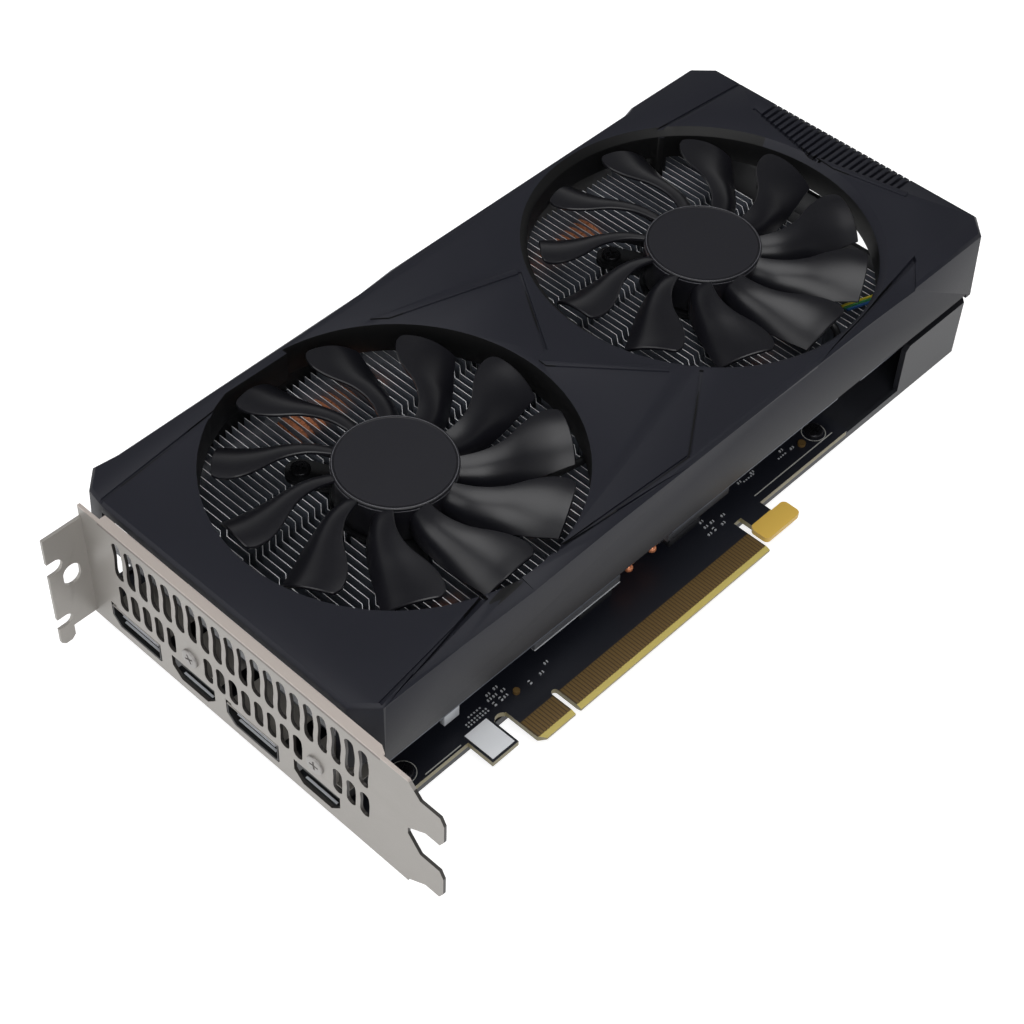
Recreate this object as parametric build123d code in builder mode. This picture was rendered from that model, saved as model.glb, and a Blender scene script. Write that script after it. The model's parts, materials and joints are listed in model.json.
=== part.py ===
from build123d import *
import os
from math import cos, radians, sin

os.makedirs("parts", exist_ok=True)

# Graphics card, lying with its fans up. Millimetres.
# X runs from the bracket to the far end, Y from the edge connector to the opposite edge, Z out through the fans.
# The origin is the middle of the connector's key notch, at the connector's tip, halfway through the board.

# Board and edge connector (sixteen-lane card edge)
board_thickness = 1.57
board_left = -57.2
board_right = 121.0
board_front = 12.0
board_back = 107.5
board_corner = 1.0
contact_pitch = 1.0
contact_width = 0.7
contact_foil = 0.05
contact_root = 7.2
contact_start = 1.4
short_contacts = 11
long_contacts = 71
segment_margin = 0.65
key_width = 1.9
key_depth = 8.6
bevel_length = 1.3
bevel_height = 0.45
lead_in = 1.7
pad_tab_left = -25.3
pad_tab_width = 8.7
pad_tab_tip = 3.9
pad_margin = 0.7
pad_length = 9.3
pad_sheet = 0.15
tab_notch_width = 4.0
tab_notch_depth = 12.9
hook_gap = 1.9
hook_length = 13.8
hook_tip = 2.3
hook_height = 5.9
hook_neck_offset = 0.9
hook_neck_width = 7.9
hook_round = 1.4

# Bracket (two slots wide, folded sheet)
sheet = 0.86
bracket_face = -60.5
bracket_width = 38.74
bracket_height = 120.02
bracket_below_board = 2.2
tongue_tip = -14.69
tongue_width = 10.19
tongue_root = -3.8
tongue_tip_slope = 1.2
tongue_tip_cut = 2.2
tongue_low_slope = 5.4
tongue_low_flare = 3.4
tongue_high_slope = 3.8
tongue_high_flare = 4.6
tongue_level = 7.0
slot_pitch = 20.32
tab_reach = 11.43
tab_finger_drop = 3.17
tab_hole_width = 5.0
tab_hole_length = 6.7
tab_hole_reach = 5.1
tab_hole_level = 16.56
tab_high_slot = 4.4
tab_high_slot_level = 22.47
tab_low_slot = 3.6
tab_low_slot_level = 2.6
tab_slot_depth = 4.3
tab_corner = 1.0
tab_top = 33.0
tab_low = 0.9
lip_width = 1.7
lip_start = 4.5
lip_end = 99.0
vent_count = 20
vent_pitch = 4.37
vent_first = 92.8
vent_width = 2.9
upper_vent_low = 20.3
upper_vent_high = 33.2
lower_vent_low = 9.2
lower_vent_high = 17.7

# Sockets behind the bracket: centre along Y
displayport_places = (89.45, 47.7)
hdmi_places = (68.5, 25.75)
displayport_width = 17.6
displayport_depth = 17.5
displayport_corner = 2.4
hdmi_width = 14.8
hdmi_depth = 12.5
hdmi_corner = 3.0
socket_height = 6.3
socket_lift = 0.6
socket_wall = 0.4
socket_gap = 0.3
socket_tongue = 1.0
socket_tongue_margin = 1.6
socket_block = 3.0
lug_width = 8.0
lug_height = 15.4
lug_thickness = 2.4
bracket_screw_height = 12.8

# Screws
screw_radius = 1.5
screw_head_radius = 2.6
screw_head_height = 1.1
screw_clearance = 0.05

# Heights above the board's upper face
fin_floor = 8.0
fin_floor_thickness = 0.6
fin_top = 22.5
shroud_low = 15.7
shroud_top = 37.0
rotor_low = 25.0
hub_top = 36.0

# Fan shroud
shroud_left = -56.5
shroud_right = 178.4
shroud_front = 13.4
shroud_back = 116.6
shroud_front_cut = 5.6
shroud_back_cut = 5.5
shroud_waist = 3.2
shroud_wall = 2.0
shroud_roof = 2.2
shroud_edge = 0.8
shroud_lean = 2.5
fan_opening = 47.2
duct_wall = 1.6
duct_depth = 7.0
opening_flat_gap = 1.0
far_opening_edge = 1.9
ridge_width = 1.8
ridge_height = 0.5
groove_width = 1.0
groove_depth = 0.6
rib_pitch = 2.04
rib_width = 1.1
rib_depth = 1.2
rib_count = 24
rib_field = 50.0
rib_field_length = 7.0
rib_field_point = 5.9
boss_radius = 2.8
boss_bore_depth = 7.0

# Fans
fan_row = 64.5
near_fan = 2.4
far_fan = 117.1
fan_phases = {"near": -53.2, "far": -49.2}
blade_count = 11
blade_tip = 44.0
blade_thickness = 1.1
blade_camber = 1.8
hub_radius = 15.7
hub_wall = 1.5
hub_roof = 1.5
hub_rim = 0.5
yoke_wall = 1.0
magnet_wall = 1.6
air_gap = 0.35
shaft_radius = 1.5
bearing_running_gap = 0.03
bearing_wall = 1.0
tube_wall = 1.1
motor_base = 1.6
motor_base_radius = 16.2
ear_radius = 4.0
ear_reach = 24.8
ear_angle = 116.0
stator_height = 6.0
pole_count = 6
post_radius = 2.6

# Cooler
fin_pitch = 2.0
fin_thickness = 0.4
fin_left = -50.0
fin_count = 100
fin_front = 17.0
fin_back = 109.0
fin_jog = 1.1
fin_jog_row = 65.0
fin_jog_length = 3.0
pocket_gap = 0.3
pipe_radius = 2.7
pipe_seat = 0.2
pipe_row_front = 21.0
pipe_row_back = 101.0
pipe_level = 17.0
pipe_gap = 0.05
front_pipes = 39.0, 47.7
back_pipes = 32.0, 54.7
front_pipe_ends = -44.0, 118.0
back_pipe_ends = -44.0, 136.0
gpu_x = 43.35
gpu_y = 58.0
gpu_package = 37.0
gpu_package_height = 1.2
gpu_die_x = 19.0
gpu_die_y = 15.0
gpu_die_height = 0.8
cold_plate_size = 46.0
cold_plate_gap = 0.2
plate_left = -1.0
plate_right = 78.0
plate_back = 92.0
plate_low = 3.0
front_channel = 16.0
back_channel = 29.0
memory_length = 14.0
memory_width = 12.0
memory_height = 1.1
memory_places = ((12.0, 45.5), (12.0, 70.5), (26.5, 25.5), (60.5, 25.5))
cooler_screw_spacing = 58.0
standoff_radius = 3.4

# Power parts on the board
inductor_size = 7.0
inductor_height = 5.0
inductor_x = 86.5
stage_x = 97.0
capacitor_x = 107.0
power_row_start = 33.0
power_row_pitch = 10.5
power_row_count = 5
stage_length = 6.0
stage_width = 5.0
stage_height = 1.0
capacitor_radius = 3.1
capacitor_height = 7.0
power_plug_width = 18.6
power_plug_depth = 14.0
power_plug_height = 11.6
power_plug_x = 108.0
power_plug_overhang = 3.0
power_cell = 3.4
power_cell_pitch = 4.2
power_cell_depth = 9.0
header_width = 13.0
header_depth = 4.6
header_height = 5.6
header_x = 110.5
header_y = 24.0
lead_radius = 1.0
lead_bend = 3.0
lead_notch_offset = 13.0
lead_notch_length = 10.0
lead_notch_depth = 12.0

# Backplate
backplate_under = 5.4
backplate_sheet = 1.2
backplate_rim = 2.5
backplate_left = -56.5
backplate_right = 177.4
backplate_front = 13.0
backplate_back = 112.0
backplate_corner = 3.0
backplate_cut = 5.5
flow_left = 126.0
flow_right = 166.0
flow_front = 28.0
flow_back = 105.0
cap_left = 145.3
cap_top = 13.2
cap_wall = 1.6
cap_corner = 1.5
exit_width = 50.0
exit_floor = 6.6
board_screw_places = ((-42.0, 16.8), (113.5, 18.0), (-42.0, 103.0), (84.0, 103.0))

# Heights of the main planes
board_top = board_thickness / 2
board_under = -board_thickness / 2
fin_floor_z = board_top + fin_floor
fin_top_z = board_top + fin_top
shroud_low_z = board_top + shroud_low
shroud_top_z = board_top + shroud_top
roof_under_z = shroud_top_z - shroud_roof
rotor_low_z = board_top + rotor_low
hub_top_z = board_top + hub_top
base_top_z = fin_top_z + motor_base
backplate_z = board_top - backplate_under
bracket_low_z = board_top - bracket_below_board
bracket_top_z = bracket_low_z + bracket_width
bracket_inner = bracket_face + sheet

short_segment = short_contacts * contact_pitch + segment_margin
long_segment = long_contacts * contact_pitch + segment_margin
short_start = -key_width / 2 - short_segment
long_start = key_width / 2
long_end = long_start + long_segment
hook_start = long_end + hook_gap
tab_seat = tongue_tip + bracket_height

fan_places = {"near": near_fan, "far": far_fan}
ear_angles = [ear_angle + step * 120 for step in range(3)]
post_places = [
    (x + ear_reach * cos(radians(angle)), fan_row + ear_reach * sin(radians(angle)))
    for x in fan_places.values()
    for angle in ear_angles
]
boss_places = [(-44.0, 31.0), (60.0, 31.0), (146.0, 22.0), (-44.0, 92.0), (60.0, 92.0), (146.0, 105.0)]
cooler_screw_places = [
    (gpu_x + side * cooler_screw_spacing / 2, gpu_y + end * cooler_screw_spacing / 2)
    for side in (-1, 1)
    for end in (-1, 1)
]


def save(piece, label):
    """Name a finished piece and write it."""
    piece.part.label = label
    export_step(piece.part, f"parts/{label}.step")


def block(x0, x1, y0, y1, z0, z1, mode=Mode.ADD):
    """A square-edged block between six faces, in the part being built."""
    with BuildSketch(Plane.XY.offset(z0)) as footprint:
        with Locations(((x0 + x1) / 2, (y0 + y1) / 2)):
            Rectangle(x1 - x0, y1 - y0)
    extrude(footprint.sketch, amount=z1 - z0, mode=mode)


def rods(places, radius, z0, z1, mode=Mode.ADD):
    """Upright round rods or holes, one at each place."""
    with BuildSketch(Plane.XY.offset(z0)) as footprint:
        with Locations(*places):
            Circle(radius)
    extrude(footprint.sketch, amount=z1 - z0, mode=mode)


# ---------------------------------------------------------------- board
with BuildPart() as board:
    with BuildSketch(Plane.XY.offset(board_under)):
        with Locations(((board_left + board_right) / 2, (board_front + board_back) / 2)):
            RectangleRounded(board_right - board_left, board_back - board_front, board_corner)
        with Locations((pad_tab_left, pad_tab_tip)):
            Rectangle(pad_tab_width, tab_notch_depth - pad_tab_tip, align=(Align.MIN, Align.MIN))
        with Locations((short_start, 0)):
            Rectangle(long_end - short_start, tab_notch_depth, align=(Align.MIN, Align.MIN))
        with Locations((hook_start + hook_neck_offset, hook_tip + hook_height / 2)):
            Rectangle(hook_neck_width, board_front - hook_tip, align=(Align.MIN, Align.MIN))
        with Locations((hook_start + hook_length / 2, hook_tip + hook_height / 2)):
            RectangleRounded(hook_length, hook_height, hook_round)
        # round-ended notches that run up from the connector's tip
        with Locations((short_start - tab_notch_width / 2, 0)):
            SlotOverall(2 * tab_notch_depth, tab_notch_width, rotation=90, mode=Mode.SUBTRACT)
        with Locations((0, 0)):
            SlotOverall(2 * key_depth, key_width, rotation=90, mode=Mode.SUBTRACT)
        with Locations((long_end + hook_gap / 2, 0)):
            SlotOverall(2 * key_depth, hook_gap, rotation=90, mode=Mode.SUBTRACT)
    extrude(amount=board_thickness)
    tip_corner = board.edges().filter_by(Axis.Z).group_by(Axis.Y)[0].sort_by(Axis.X)[0]
    chamfer(tip_corner, lead_in)
    # both faces slope in towards the tip
    with BuildSketch(Plane.YZ.offset(short_start)):
        for face, turn in ((board_top, -1), (board_under, 1)):
            with BuildLine():
                Polyline((0, face), (bevel_length, face), (0, face + turn * bevel_height), close=True)
            make_face()
    extrude(amount=long_end - short_start, mode=Mode.SUBTRACT)
    rods(board_screw_places, screw_radius + screw_clearance, board_under, board_top, Mode.SUBTRACT)
    rods(cooler_screw_places, screw_radius + screw_clearance, board_under, board_top, Mode.SUBTRACT)
save(board, "circuit_board")

with BuildPart() as contacts:
    for face in (board_top, board_under - contact_foil):
        with BuildSketch(Plane.XY.offset(face)):
            for start, count in ((short_start, short_contacts), (long_start, long_contacts)):
                middle = start + (count * contact_pitch + segment_margin) / 2
                with Locations((middle, (contact_start + contact_root) / 2)):
                    with GridLocations(contact_pitch, 1, count, 1):
                        Rectangle(contact_width, contact_root - contact_start)
        extrude(amount=contact_foil)
save(contacts, "edge_contacts")

with BuildPart() as pad:
    block(
        pad_tab_left + pad_margin,
        pad_tab_left + pad_tab_width - pad_margin,
        pad_tab_tip + pad_margin,
        pad_tab_tip + pad_margin + pad_length,
        board_top,
        board_top + pad_sheet,
    )
save(pad, "tinned_pad")

def socket_mouth(place, width, front_corner, back_corner, shrink):
    """Outline of a socket across Y and Z: its lower corners are cut, and it is narrowed all round by shrink."""
    low = board_top + socket_lift + shrink
    high = board_top + socket_lift + socket_height - shrink
    half = width / 2 - shrink
    Polygon(
        (place - half, high),
        (place - half, low + front_corner),
        (place - half + front_corner, low),
        (place + half - back_corner, low),
        (place + half, low + back_corner),
        (place + half, high),
        align=None,
    )


def displayport_mouth(place, shrink):
    """Only one lower corner of this socket is cut."""
    socket_mouth(place, displayport_width, 0.4, displayport_corner, shrink)


def hdmi_mouth(place, shrink):
    """Both lower corners of this socket are cut."""
    socket_mouth(place, hdmi_width, hdmi_corner, hdmi_corner, shrink)


# ---------------------------------------------------------------- bracket
low_tongue = board_top + tongue_level
high_tongue = low_tongue + slot_pitch
tab_edge = bracket_face - tab_reach
tab_low_z = board_top - tab_low
finger_low_z = bracket_low_z - tab_finger_drop
with BuildPart() as bracket:
    with BuildSketch(Plane.YZ.offset(bracket_face)):
        with Locations(((tongue_root + tab_seat + sheet) / 2, bracket_low_z + bracket_width / 2)):
            Rectangle(tab_seat + sheet - tongue_root, bracket_width)
        for middle in (low_tongue, high_tongue):
            with BuildLine():
                low = middle - tongue_width / 2
                high = middle + tongue_width / 2
                Polyline(
                    (tongue_root, low - tongue_low_flare),
                    (tongue_root - tongue_low_slope, low),
                    (tongue_tip + tongue_tip_slope, low),
                    (tongue_tip, low + tongue_tip_cut),
                    (tongue_tip, high - tongue_tip_cut),
                    (tongue_tip + tongue_tip_slope, high),
                    (tongue_root - tongue_high_slope, high),
                    (tongue_root, high + tongue_high_flare),
                    close=True,
                )
            make_face()
    extrude(amount=sheet)
    # tab that screws to the case, folded outwards at the top
    with BuildSketch(Plane.XZ.offset(-tab_seat)):
        with BuildLine():
            Polyline(
                (bracket_inner, tab_low_z),
                (tab_edge + tab_slot_depth, tab_low_z),
                (tab_edge + tab_slot_depth, finger_low_z + tab_corner),
                (tab_edge + tab_slot_depth - tab_corner, finger_low_z),
                (tab_edge + tab_corner, finger_low_z),
                (tab_edge, finger_low_z + tab_corner),
                (tab_edge, board_top + tab_top),
                (bracket_inner, board_top + tab_top),
                close=True,
            )
        make_face()
        with Locations((bracket_face - tab_hole_reach, board_top + tab_hole_level)):
            SlotOverall(tab_hole_length, tab_hole_width, rotation=90, mode=Mode.SUBTRACT)
        with Locations((tab_edge, board_top + tab_high_slot_level)):
            SlotOverall(2 * tab_slot_depth, tab_high_slot, mode=Mode.SUBTRACT)
        with Locations((tab_edge, board_top + tab_low_slot_level)):
            SlotOverall(2 * tab_slot_depth, tab_low_slot, mode=Mode.SUBTRACT)
    extrude(amount=-sheet)
    # narrow stiffening lip along the upper edge
    block(bracket_face, bracket_inner + lip_width, lip_start, lip_end, bracket_top_z - sheet, bracket_top_z)
    with BuildSketch(Plane.YZ.offset(bracket_face)):
        for low, high in ((upper_vent_low, upper_vent_high), (lower_vent_low, lower_vent_high)):
            for step in range(vent_count):
                y = vent_first - step * vent_pitch
                beside_screw = any(abs(y - place) < vent_pitch for place in hdmi_places)
                if low == lower_vent_low and beside_screw:
                    continue
                with Locations((y, board_top + (low + high) / 2)):
                    SlotOverall(high - low, vent_width, rotation=90)
        for place in displayport_places:
            displayport_mouth(place, -socket_gap)
        for place in hdmi_places:
            hdmi_mouth(place, -socket_gap)
            with Locations((place, board_top + bracket_screw_height)):
                Circle(screw_radius + screw_clearance)
    extrude(amount=sheet, mode=Mode.SUBTRACT)
save(bracket, "io_bracket")

with BuildPart() as bracket_screws:
    with BuildSketch(Plane.YZ.offset(bracket_face - screw_head_height)):
        for place in hdmi_places:
            with Locations((place, board_top + bracket_screw_height)):
                Circle(screw_head_radius)
    extrude(amount=screw_head_height)
    with BuildSketch(Plane.YZ.offset(bracket_face)):
        for place in hdmi_places:
            with Locations((place, board_top + bracket_screw_height)):
                Circle(screw_radius)
    extrude(amount=sheet + lug_thickness)
save(bracket_screws, "bracket_screws")


# ---------------------------------------------------------------- sockets
def socket_shell(place, mouth, width, depth, lug):
    """Folded sheet shell of a socket, soldered to the board on its feet."""
    with BuildPart() as shell:
        with BuildSketch(Plane.YZ.offset(bracket_face)) as outside:
            mouth(place, 0)
        extrude(outside.sketch, amount=depth)
        with BuildSketch(Plane.YZ.offset(bracket_face)) as inside:
            mouth(place, socket_wall)
        extrude(inside.sketch, amount=depth, mode=Mode.SUBTRACT)
        for side in (-1, 1):
            y = place + side * (width / 2 - hdmi_corner - socket_wall)
            block(
                board_left + 2, bracket_face + depth - 1, y - socket_wall, y + socket_wall,
                board_top, board_top + socket_lift + socket_wall / 2,
            )
        if lug:
            top = board_top + socket_lift + socket_height
            block(
                bracket_inner, bracket_inner + lug_thickness, place - lug_width / 2, place + lug_width / 2,
                top - socket_wall, board_top + lug_height,
            )
            with BuildSketch(Plane.YZ.offset(bracket_inner)):
                with Locations((place, board_top + bracket_screw_height)):
                    Circle(screw_radius + screw_clearance)
            extrude(amount=lug_thickness, mode=Mode.SUBTRACT)
    return shell


def socket_insert(place, mouth, width, depth):
    """Moulded block that closes the back of a socket, with the tongue that carries its contacts."""
    with BuildPart() as insert:
        with BuildSketch(Plane.YZ.offset(bracket_face + depth - socket_block)) as inside:
            mouth(place, socket_wall)
        extrude(inside.sketch, amount=socket_block)
        middle = board_top + socket_lift + socket_height / 2
        block(
            bracket_face + 1.5, bracket_face + depth - socket_block,
            place - width / 2 + socket_wall + socket_tongue_margin,
            place + width / 2 - socket_wall - socket_tongue_margin,
            middle - socket_tongue / 2, middle + socket_tongue / 2,
        )
    return insert


for number, place in enumerate(displayport_places, start=1):
    shell = socket_shell(place, displayport_mouth, displayport_width, displayport_depth, False)
    save(shell, f"displayport_shell_{number}")
    insert = socket_insert(place, displayport_mouth, displayport_width, displayport_depth)
    save(insert, f"displayport_insert_{number}")
for number, place in enumerate(hdmi_places, start=1):
    save(socket_shell(place, hdmi_mouth, hdmi_width, hdmi_depth, True), f"hdmi_shell_{number}")
    save(socket_insert(place, hdmi_mouth, hdmi_width, hdmi_depth), f"hdmi_insert_{number}")

# ---------------------------------------------------------------- fan shroud
shroud_outline = [
    (shroud_left, shroud_front + shroud_front_cut),
    (shroud_left + shroud_front_cut, shroud_front),
    (shroud_right - shroud_front_cut, shroud_front),
    (shroud_right, shroud_front + shroud_front_cut),
    (shroud_right, shroud_back - shroud_back_cut),
    (shroud_right - shroud_back_cut, shroud_back),
    (far_fan + 30.0, shroud_back),
    (far_fan + 26.0, shroud_back - shroud_waist / 3),
    (near_fan + 47.0, shroud_back - shroud_waist * 2 / 3),
    (near_fan + 35.0, shroud_back - shroud_waist),
    (shroud_left + 13.0, shroud_back - shroud_waist - 1.2),
    (shroud_left + 6.2, shroud_back - shroud_waist - 0.4),
    (shroud_left + 1.0, shroud_back - shroud_waist - shroud_back_cut),
    (shroud_left, shroud_back - shroud_waist - shroud_back_cut - 6.0),
]
rib_start = shroud_right - rib_field_length
rib_point = (rib_start - rib_field_point, fan_row)
rib_front = (rib_start, fan_row - rib_field / 2 - rib_pitch)
rib_back = (rib_start, fan_row + rib_field / 2 + rib_pitch)
ridge_lines = [
    [(near_fan + 28.0, fan_row + 38.8), (near_fan + 69.3, fan_row + 25.8)],
    [(near_fan + 47.6, fan_row - 0.8), (near_fan + 70.1, fan_row - 26.2)],
    [rib_point, rib_front],
]
groove_lines = [
    [(shroud_left, fan_row + 38.3), (near_fan - 14.9, fan_row + 42.7)],
    [(near_fan + 70.1, fan_row + 25.5), (near_fan + 53.4, fan_row + 0.5)],
    [(near_fan + 75.9, fan_row - 32.0), (near_fan + 50.9, shroud_front + 2.0)],
    [(near_fan + 50.9, shroud_front + 2.0), (near_fan + 5.1, shroud_front + 4.1)],
    [(near_fan - 15.7, shroud_front + 5.8), (shroud_left + shroud_front_cut, shroud_front + 1.0)],
    [rib_point, rib_back],
    [(far_fan + 27.1, fan_row + 39.7), (shroud_right, fan_row + 37.2)],
]
fan_centres = [(x, fan_row) for x in fan_places.values()]
near_opening_limit = near_fan + 6.0

with BuildPart() as shroud:
    with BuildSketch(Plane.XY.offset(shroud_top_z)):
        Polygon(*shroud_outline, align=None)
    extrude(amount=-(shroud_top_z - shroud_low_z), taper=-shroud_lean)
    chamfer(shroud.faces().sort_by(Axis.Z)[-1].edges(), shroud_edge)
    with BuildSketch(Plane.XY.offset(roof_under_z)):
        Polygon(*shroud_outline, align=None)
        offset(amount=-shroud_wall, kind=Kind.INTERSECTION, mode=Mode.REPLACE)
    extrude(amount=-(roof_under_z - shroud_low_z), taper=-shroud_lean, mode=Mode.SUBTRACT)
    # the end behind the bracket is open, so that air leaves through the vents
    block(
        shroud_left - shroud_wall, shroud_left + 2 * shroud_wall,
        shroud_front + 1.6 * shroud_front_cut, shroud_back - shroud_waist - 2 * shroud_back_cut,
        shroud_low_z - shroud_wall, roof_under_z - shroud_edge, Mode.SUBTRACT,
    )
    # short ducts under the roof, around the blades
    with BuildSketch(Plane.XY.offset(roof_under_z)):
        with Locations(*fan_centres):
            Circle(fan_opening + duct_wall)
        with BuildSketch(Plane.XY.offset(roof_under_z), mode=Mode.INTERSECT):
            Polygon(*shroud_outline, align=None)
            offset(amount=-shroud_wall / 2, kind=Kind.INTERSECTION, mode=Mode.REPLACE)
    extrude(amount=-duct_depth)
    with BuildSketch(Plane.XY.offset(shroud_top_z)):
        with Locations(*fan_centres):
            Circle(fan_opening)
        with Locations((near_opening_limit, fan_row + blade_tip + opening_flat_gap)):
            Rectangle(fan_opening, fan_opening, align=(Align.MAX, Align.MIN), mode=Mode.SUBTRACT)
    extrude(amount=-(shroud_top_z - shroud_low_z), mode=Mode.SUBTRACT)
    # the far opening has the wider bevel
    with BuildSketch(Plane.XY.offset(shroud_top_z)):
        with Locations((far_fan, fan_row)):
            Circle(fan_opening + far_opening_edge)
    extrude(amount=-far_opening_edge, taper=45, mode=Mode.SUBTRACT)
    with BuildSketch(Plane.XY.offset(roof_under_z)):
        with Locations(*boss_places):
            Circle(boss_radius)
    extrude(amount=-(roof_under_z - fin_floor_z - fin_floor_thickness))
    rods(
        boss_places, screw_radius + screw_clearance, fin_floor_z,
        fin_floor_z + fin_floor_thickness + boss_bore_depth, Mode.SUBTRACT,
    )
    # ribs at the far end, between cuts that fan out from a shallow vee
    with BuildSketch(Plane.XY.offset(shroud_top_z)):
        with Locations((shroud_right, fan_row)):
            with GridLocations(0, rib_pitch, 1, rib_count):
                Rectangle(2 * (rib_field_length + rib_field_point), rib_pitch - rib_width)
        Polygon(
            rib_front,
            (shroud_right + rib_field_length, rib_front[1]),
            (shroud_right + rib_field_length, rib_back[1]),
            rib_back,
            rib_point,
            align=None,
            mode=Mode.INTERSECT,
        )
    extrude(amount=-rib_depth, mode=Mode.SUBTRACT)
    # raised ridges of the styling
    with BuildSketch(Plane.XY.offset(shroud_top_z)):
        for line in ridge_lines:
            with BuildLine():
                Polyline(*line)
            trace(line_width=ridge_width)
        with Locations(*fan_centres):
            Circle(fan_opening + far_opening_edge, mode=Mode.SUBTRACT)
    extrude(amount=ridge_height)
    # grooves of the styling
    with BuildSketch(Plane.XY.offset(shroud_top_z)):
        for line in groove_lines:
            with BuildLine():
                Polyline(*line)
            trace(line_width=groove_width)
    extrude(amount=-groove_depth, mode=Mode.SUBTRACT)
save(shroud, "fan_shroud")

with BuildPart() as shroud_screws:
    rods(boss_places, screw_head_radius, fin_floor_z - screw_head_height, fin_floor_z)
    rods(boss_places, screw_radius, fin_floor_z, fin_floor_z + fin_floor_thickness + boss_bore_depth - 1)
save(shroud_screws, "shroud_screws")

# ---------------------------------------------------------------- fans
# each section of a blade: radius, then the angle and height of its leading and trailing edges;
# the angles run from the blade's leading tip corner and the heights from the board's upper face
blade_sections = (
    (hub_radius - 0.9, -17.0, 35.6, -34.8, 28.9),
    (21.0, -15.0, 35.9, -33.3, 29.3),
    (27.0, -9.6, 35.9, -29.0, 29.5),
    (33.0, -2.4, 35.9, -24.8, 29.7),
    (38.5, 0.6, 35.9, -21.6, 30.1),
    (blade_tip + 1.0, 0.0, 35.8, -19.6, 30.9),
)
with BuildPart() as blade:
    for reach, lead_angle, lead_height, trail_angle, trail_height in blade_sections:
        middle_angle = radians((lead_angle + trail_angle) / 2)
        half_angle = radians((lead_angle - trail_angle) / 2)
        outward = Vector(cos(middle_angle), sin(middle_angle), 0)
        section = Plane(
            origin=outward * reach * cos(half_angle),
            x_dir=(-sin(middle_angle), cos(middle_angle), 0),
            z_dir=outward,
        )
        lead_edge = Vector(reach * sin(half_angle), board_top + lead_height)
        trail_edge = Vector(-reach * sin(half_angle), board_top + trail_height)
        chord = lead_edge - trail_edge
        across = Vector(-chord.Y, chord.X).normalized()
        crown = across * blade_camber
        camber_line = (
            trail_edge,
            trail_edge + chord * 0.3 + crown * 0.9,
            trail_edge + chord * 0.65 + crown * 0.8,
            lead_edge,
        )
        half = across * (blade_thickness / 2)
        with BuildSketch(section):
            Polygon(
                *[point + half for point in camber_line],
                *[point - half for point in reversed(camber_line)],
                align=None,
            )
    loft(ruled=True)
    # the tips run round the fan's own circle
    rods([(0, 0)], blade_tip, board_top, shroud_top_z, Mode.INTERSECT)


def rotor(x, phase):
    """Moulded hub with its blades."""
    with BuildPart() as wheel:
        centre = (x, fan_row)
        rods([centre], hub_radius, rotor_low_z, hub_top_z)
        chamfer(wheel.edges().group_by(Axis.Z)[-1], hub_rim)
        rods([centre], hub_radius - 2 * hub_rim, hub_top_z - hub_rim, hub_top_z, Mode.SUBTRACT)
        rods([centre], hub_radius - hub_wall, rotor_low_z, hub_top_z - hub_rim - hub_roof, Mode.SUBTRACT)
        rods([centre], shaft_radius + tube_wall, hub_boss_z, hub_top_z - hub_rim)
        rods([centre], shaft_radius, hub_boss_z, hub_top_z - hub_rim - hub_roof / 2, Mode.SUBTRACT)
        for step in range(blade_count):
            with Locations(Location((x, fan_row, 0), (0, 0, phase + step * 360 / blade_count))):
                add(blade.part)
    return wheel


def motor_base_part(x):
    """Three-eared base with the tube that holds the bearing and the stator."""
    with BuildPart() as base:
        with BuildSketch(Plane.XY.offset(fin_top_z)):
            with Locations((x, fan_row)):
                Circle(motor_base_radius)
            for angle in ear_angles:
                with Locations(Location((x, fan_row, 0), (0, 0, angle))):
                    Rectangle(ear_reach, 2 * ear_radius, align=(Align.MIN, Align.CENTER))
                with Locations((x + ear_reach * cos(radians(angle)), fan_row + ear_reach * sin(radians(angle)))):
                    Circle(ear_radius)
                    Circle(screw_radius + screw_clearance, mode=Mode.SUBTRACT)
        extrude(amount=motor_base)
        rods([(x, fan_row)], tube_radius, base_top_z, tube_top_z)
        rods([(x, fan_row)], bearing_radius, fin_top_z + motor_base / 2, tube_top_z, Mode.SUBTRACT)
    return base


def stator_part(x):
    """Laminated core with its poles."""
    with BuildPart() as core:
        with BuildSketch(Plane.XY.offset(stator_low_z)):
            with Locations((x, fan_row)):
                Circle(stator_radius)
                Circle(stator_radius - 1.5, mode=Mode.SUBTRACT)
                with PolarLocations(stator_radius, pole_count, start_angle=180 / pole_count):
                    Rectangle(6, 1.6, mode=Mode.SUBTRACT)
                Circle(tube_radius + 2)
                with PolarLocations((tube_radius + stator_radius) / 2, pole_count):
                    Rectangle(stator_radius - tube_radius - 1, 2.4)
                Circle(tube_radius, mode=Mode.SUBTRACT)
        extrude(amount=stator_height)
    return core


def ring_part(x, outer, inner, low, high):
    """Plain upright ring; a disc or a rod when the inner radius is nothing."""
    with BuildPart() as ring:
        rods([(x, fan_row)], outer, low, high)
        if inner:
            rods([(x, fan_row)], inner, low, high, Mode.SUBTRACT)
    return ring


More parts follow.
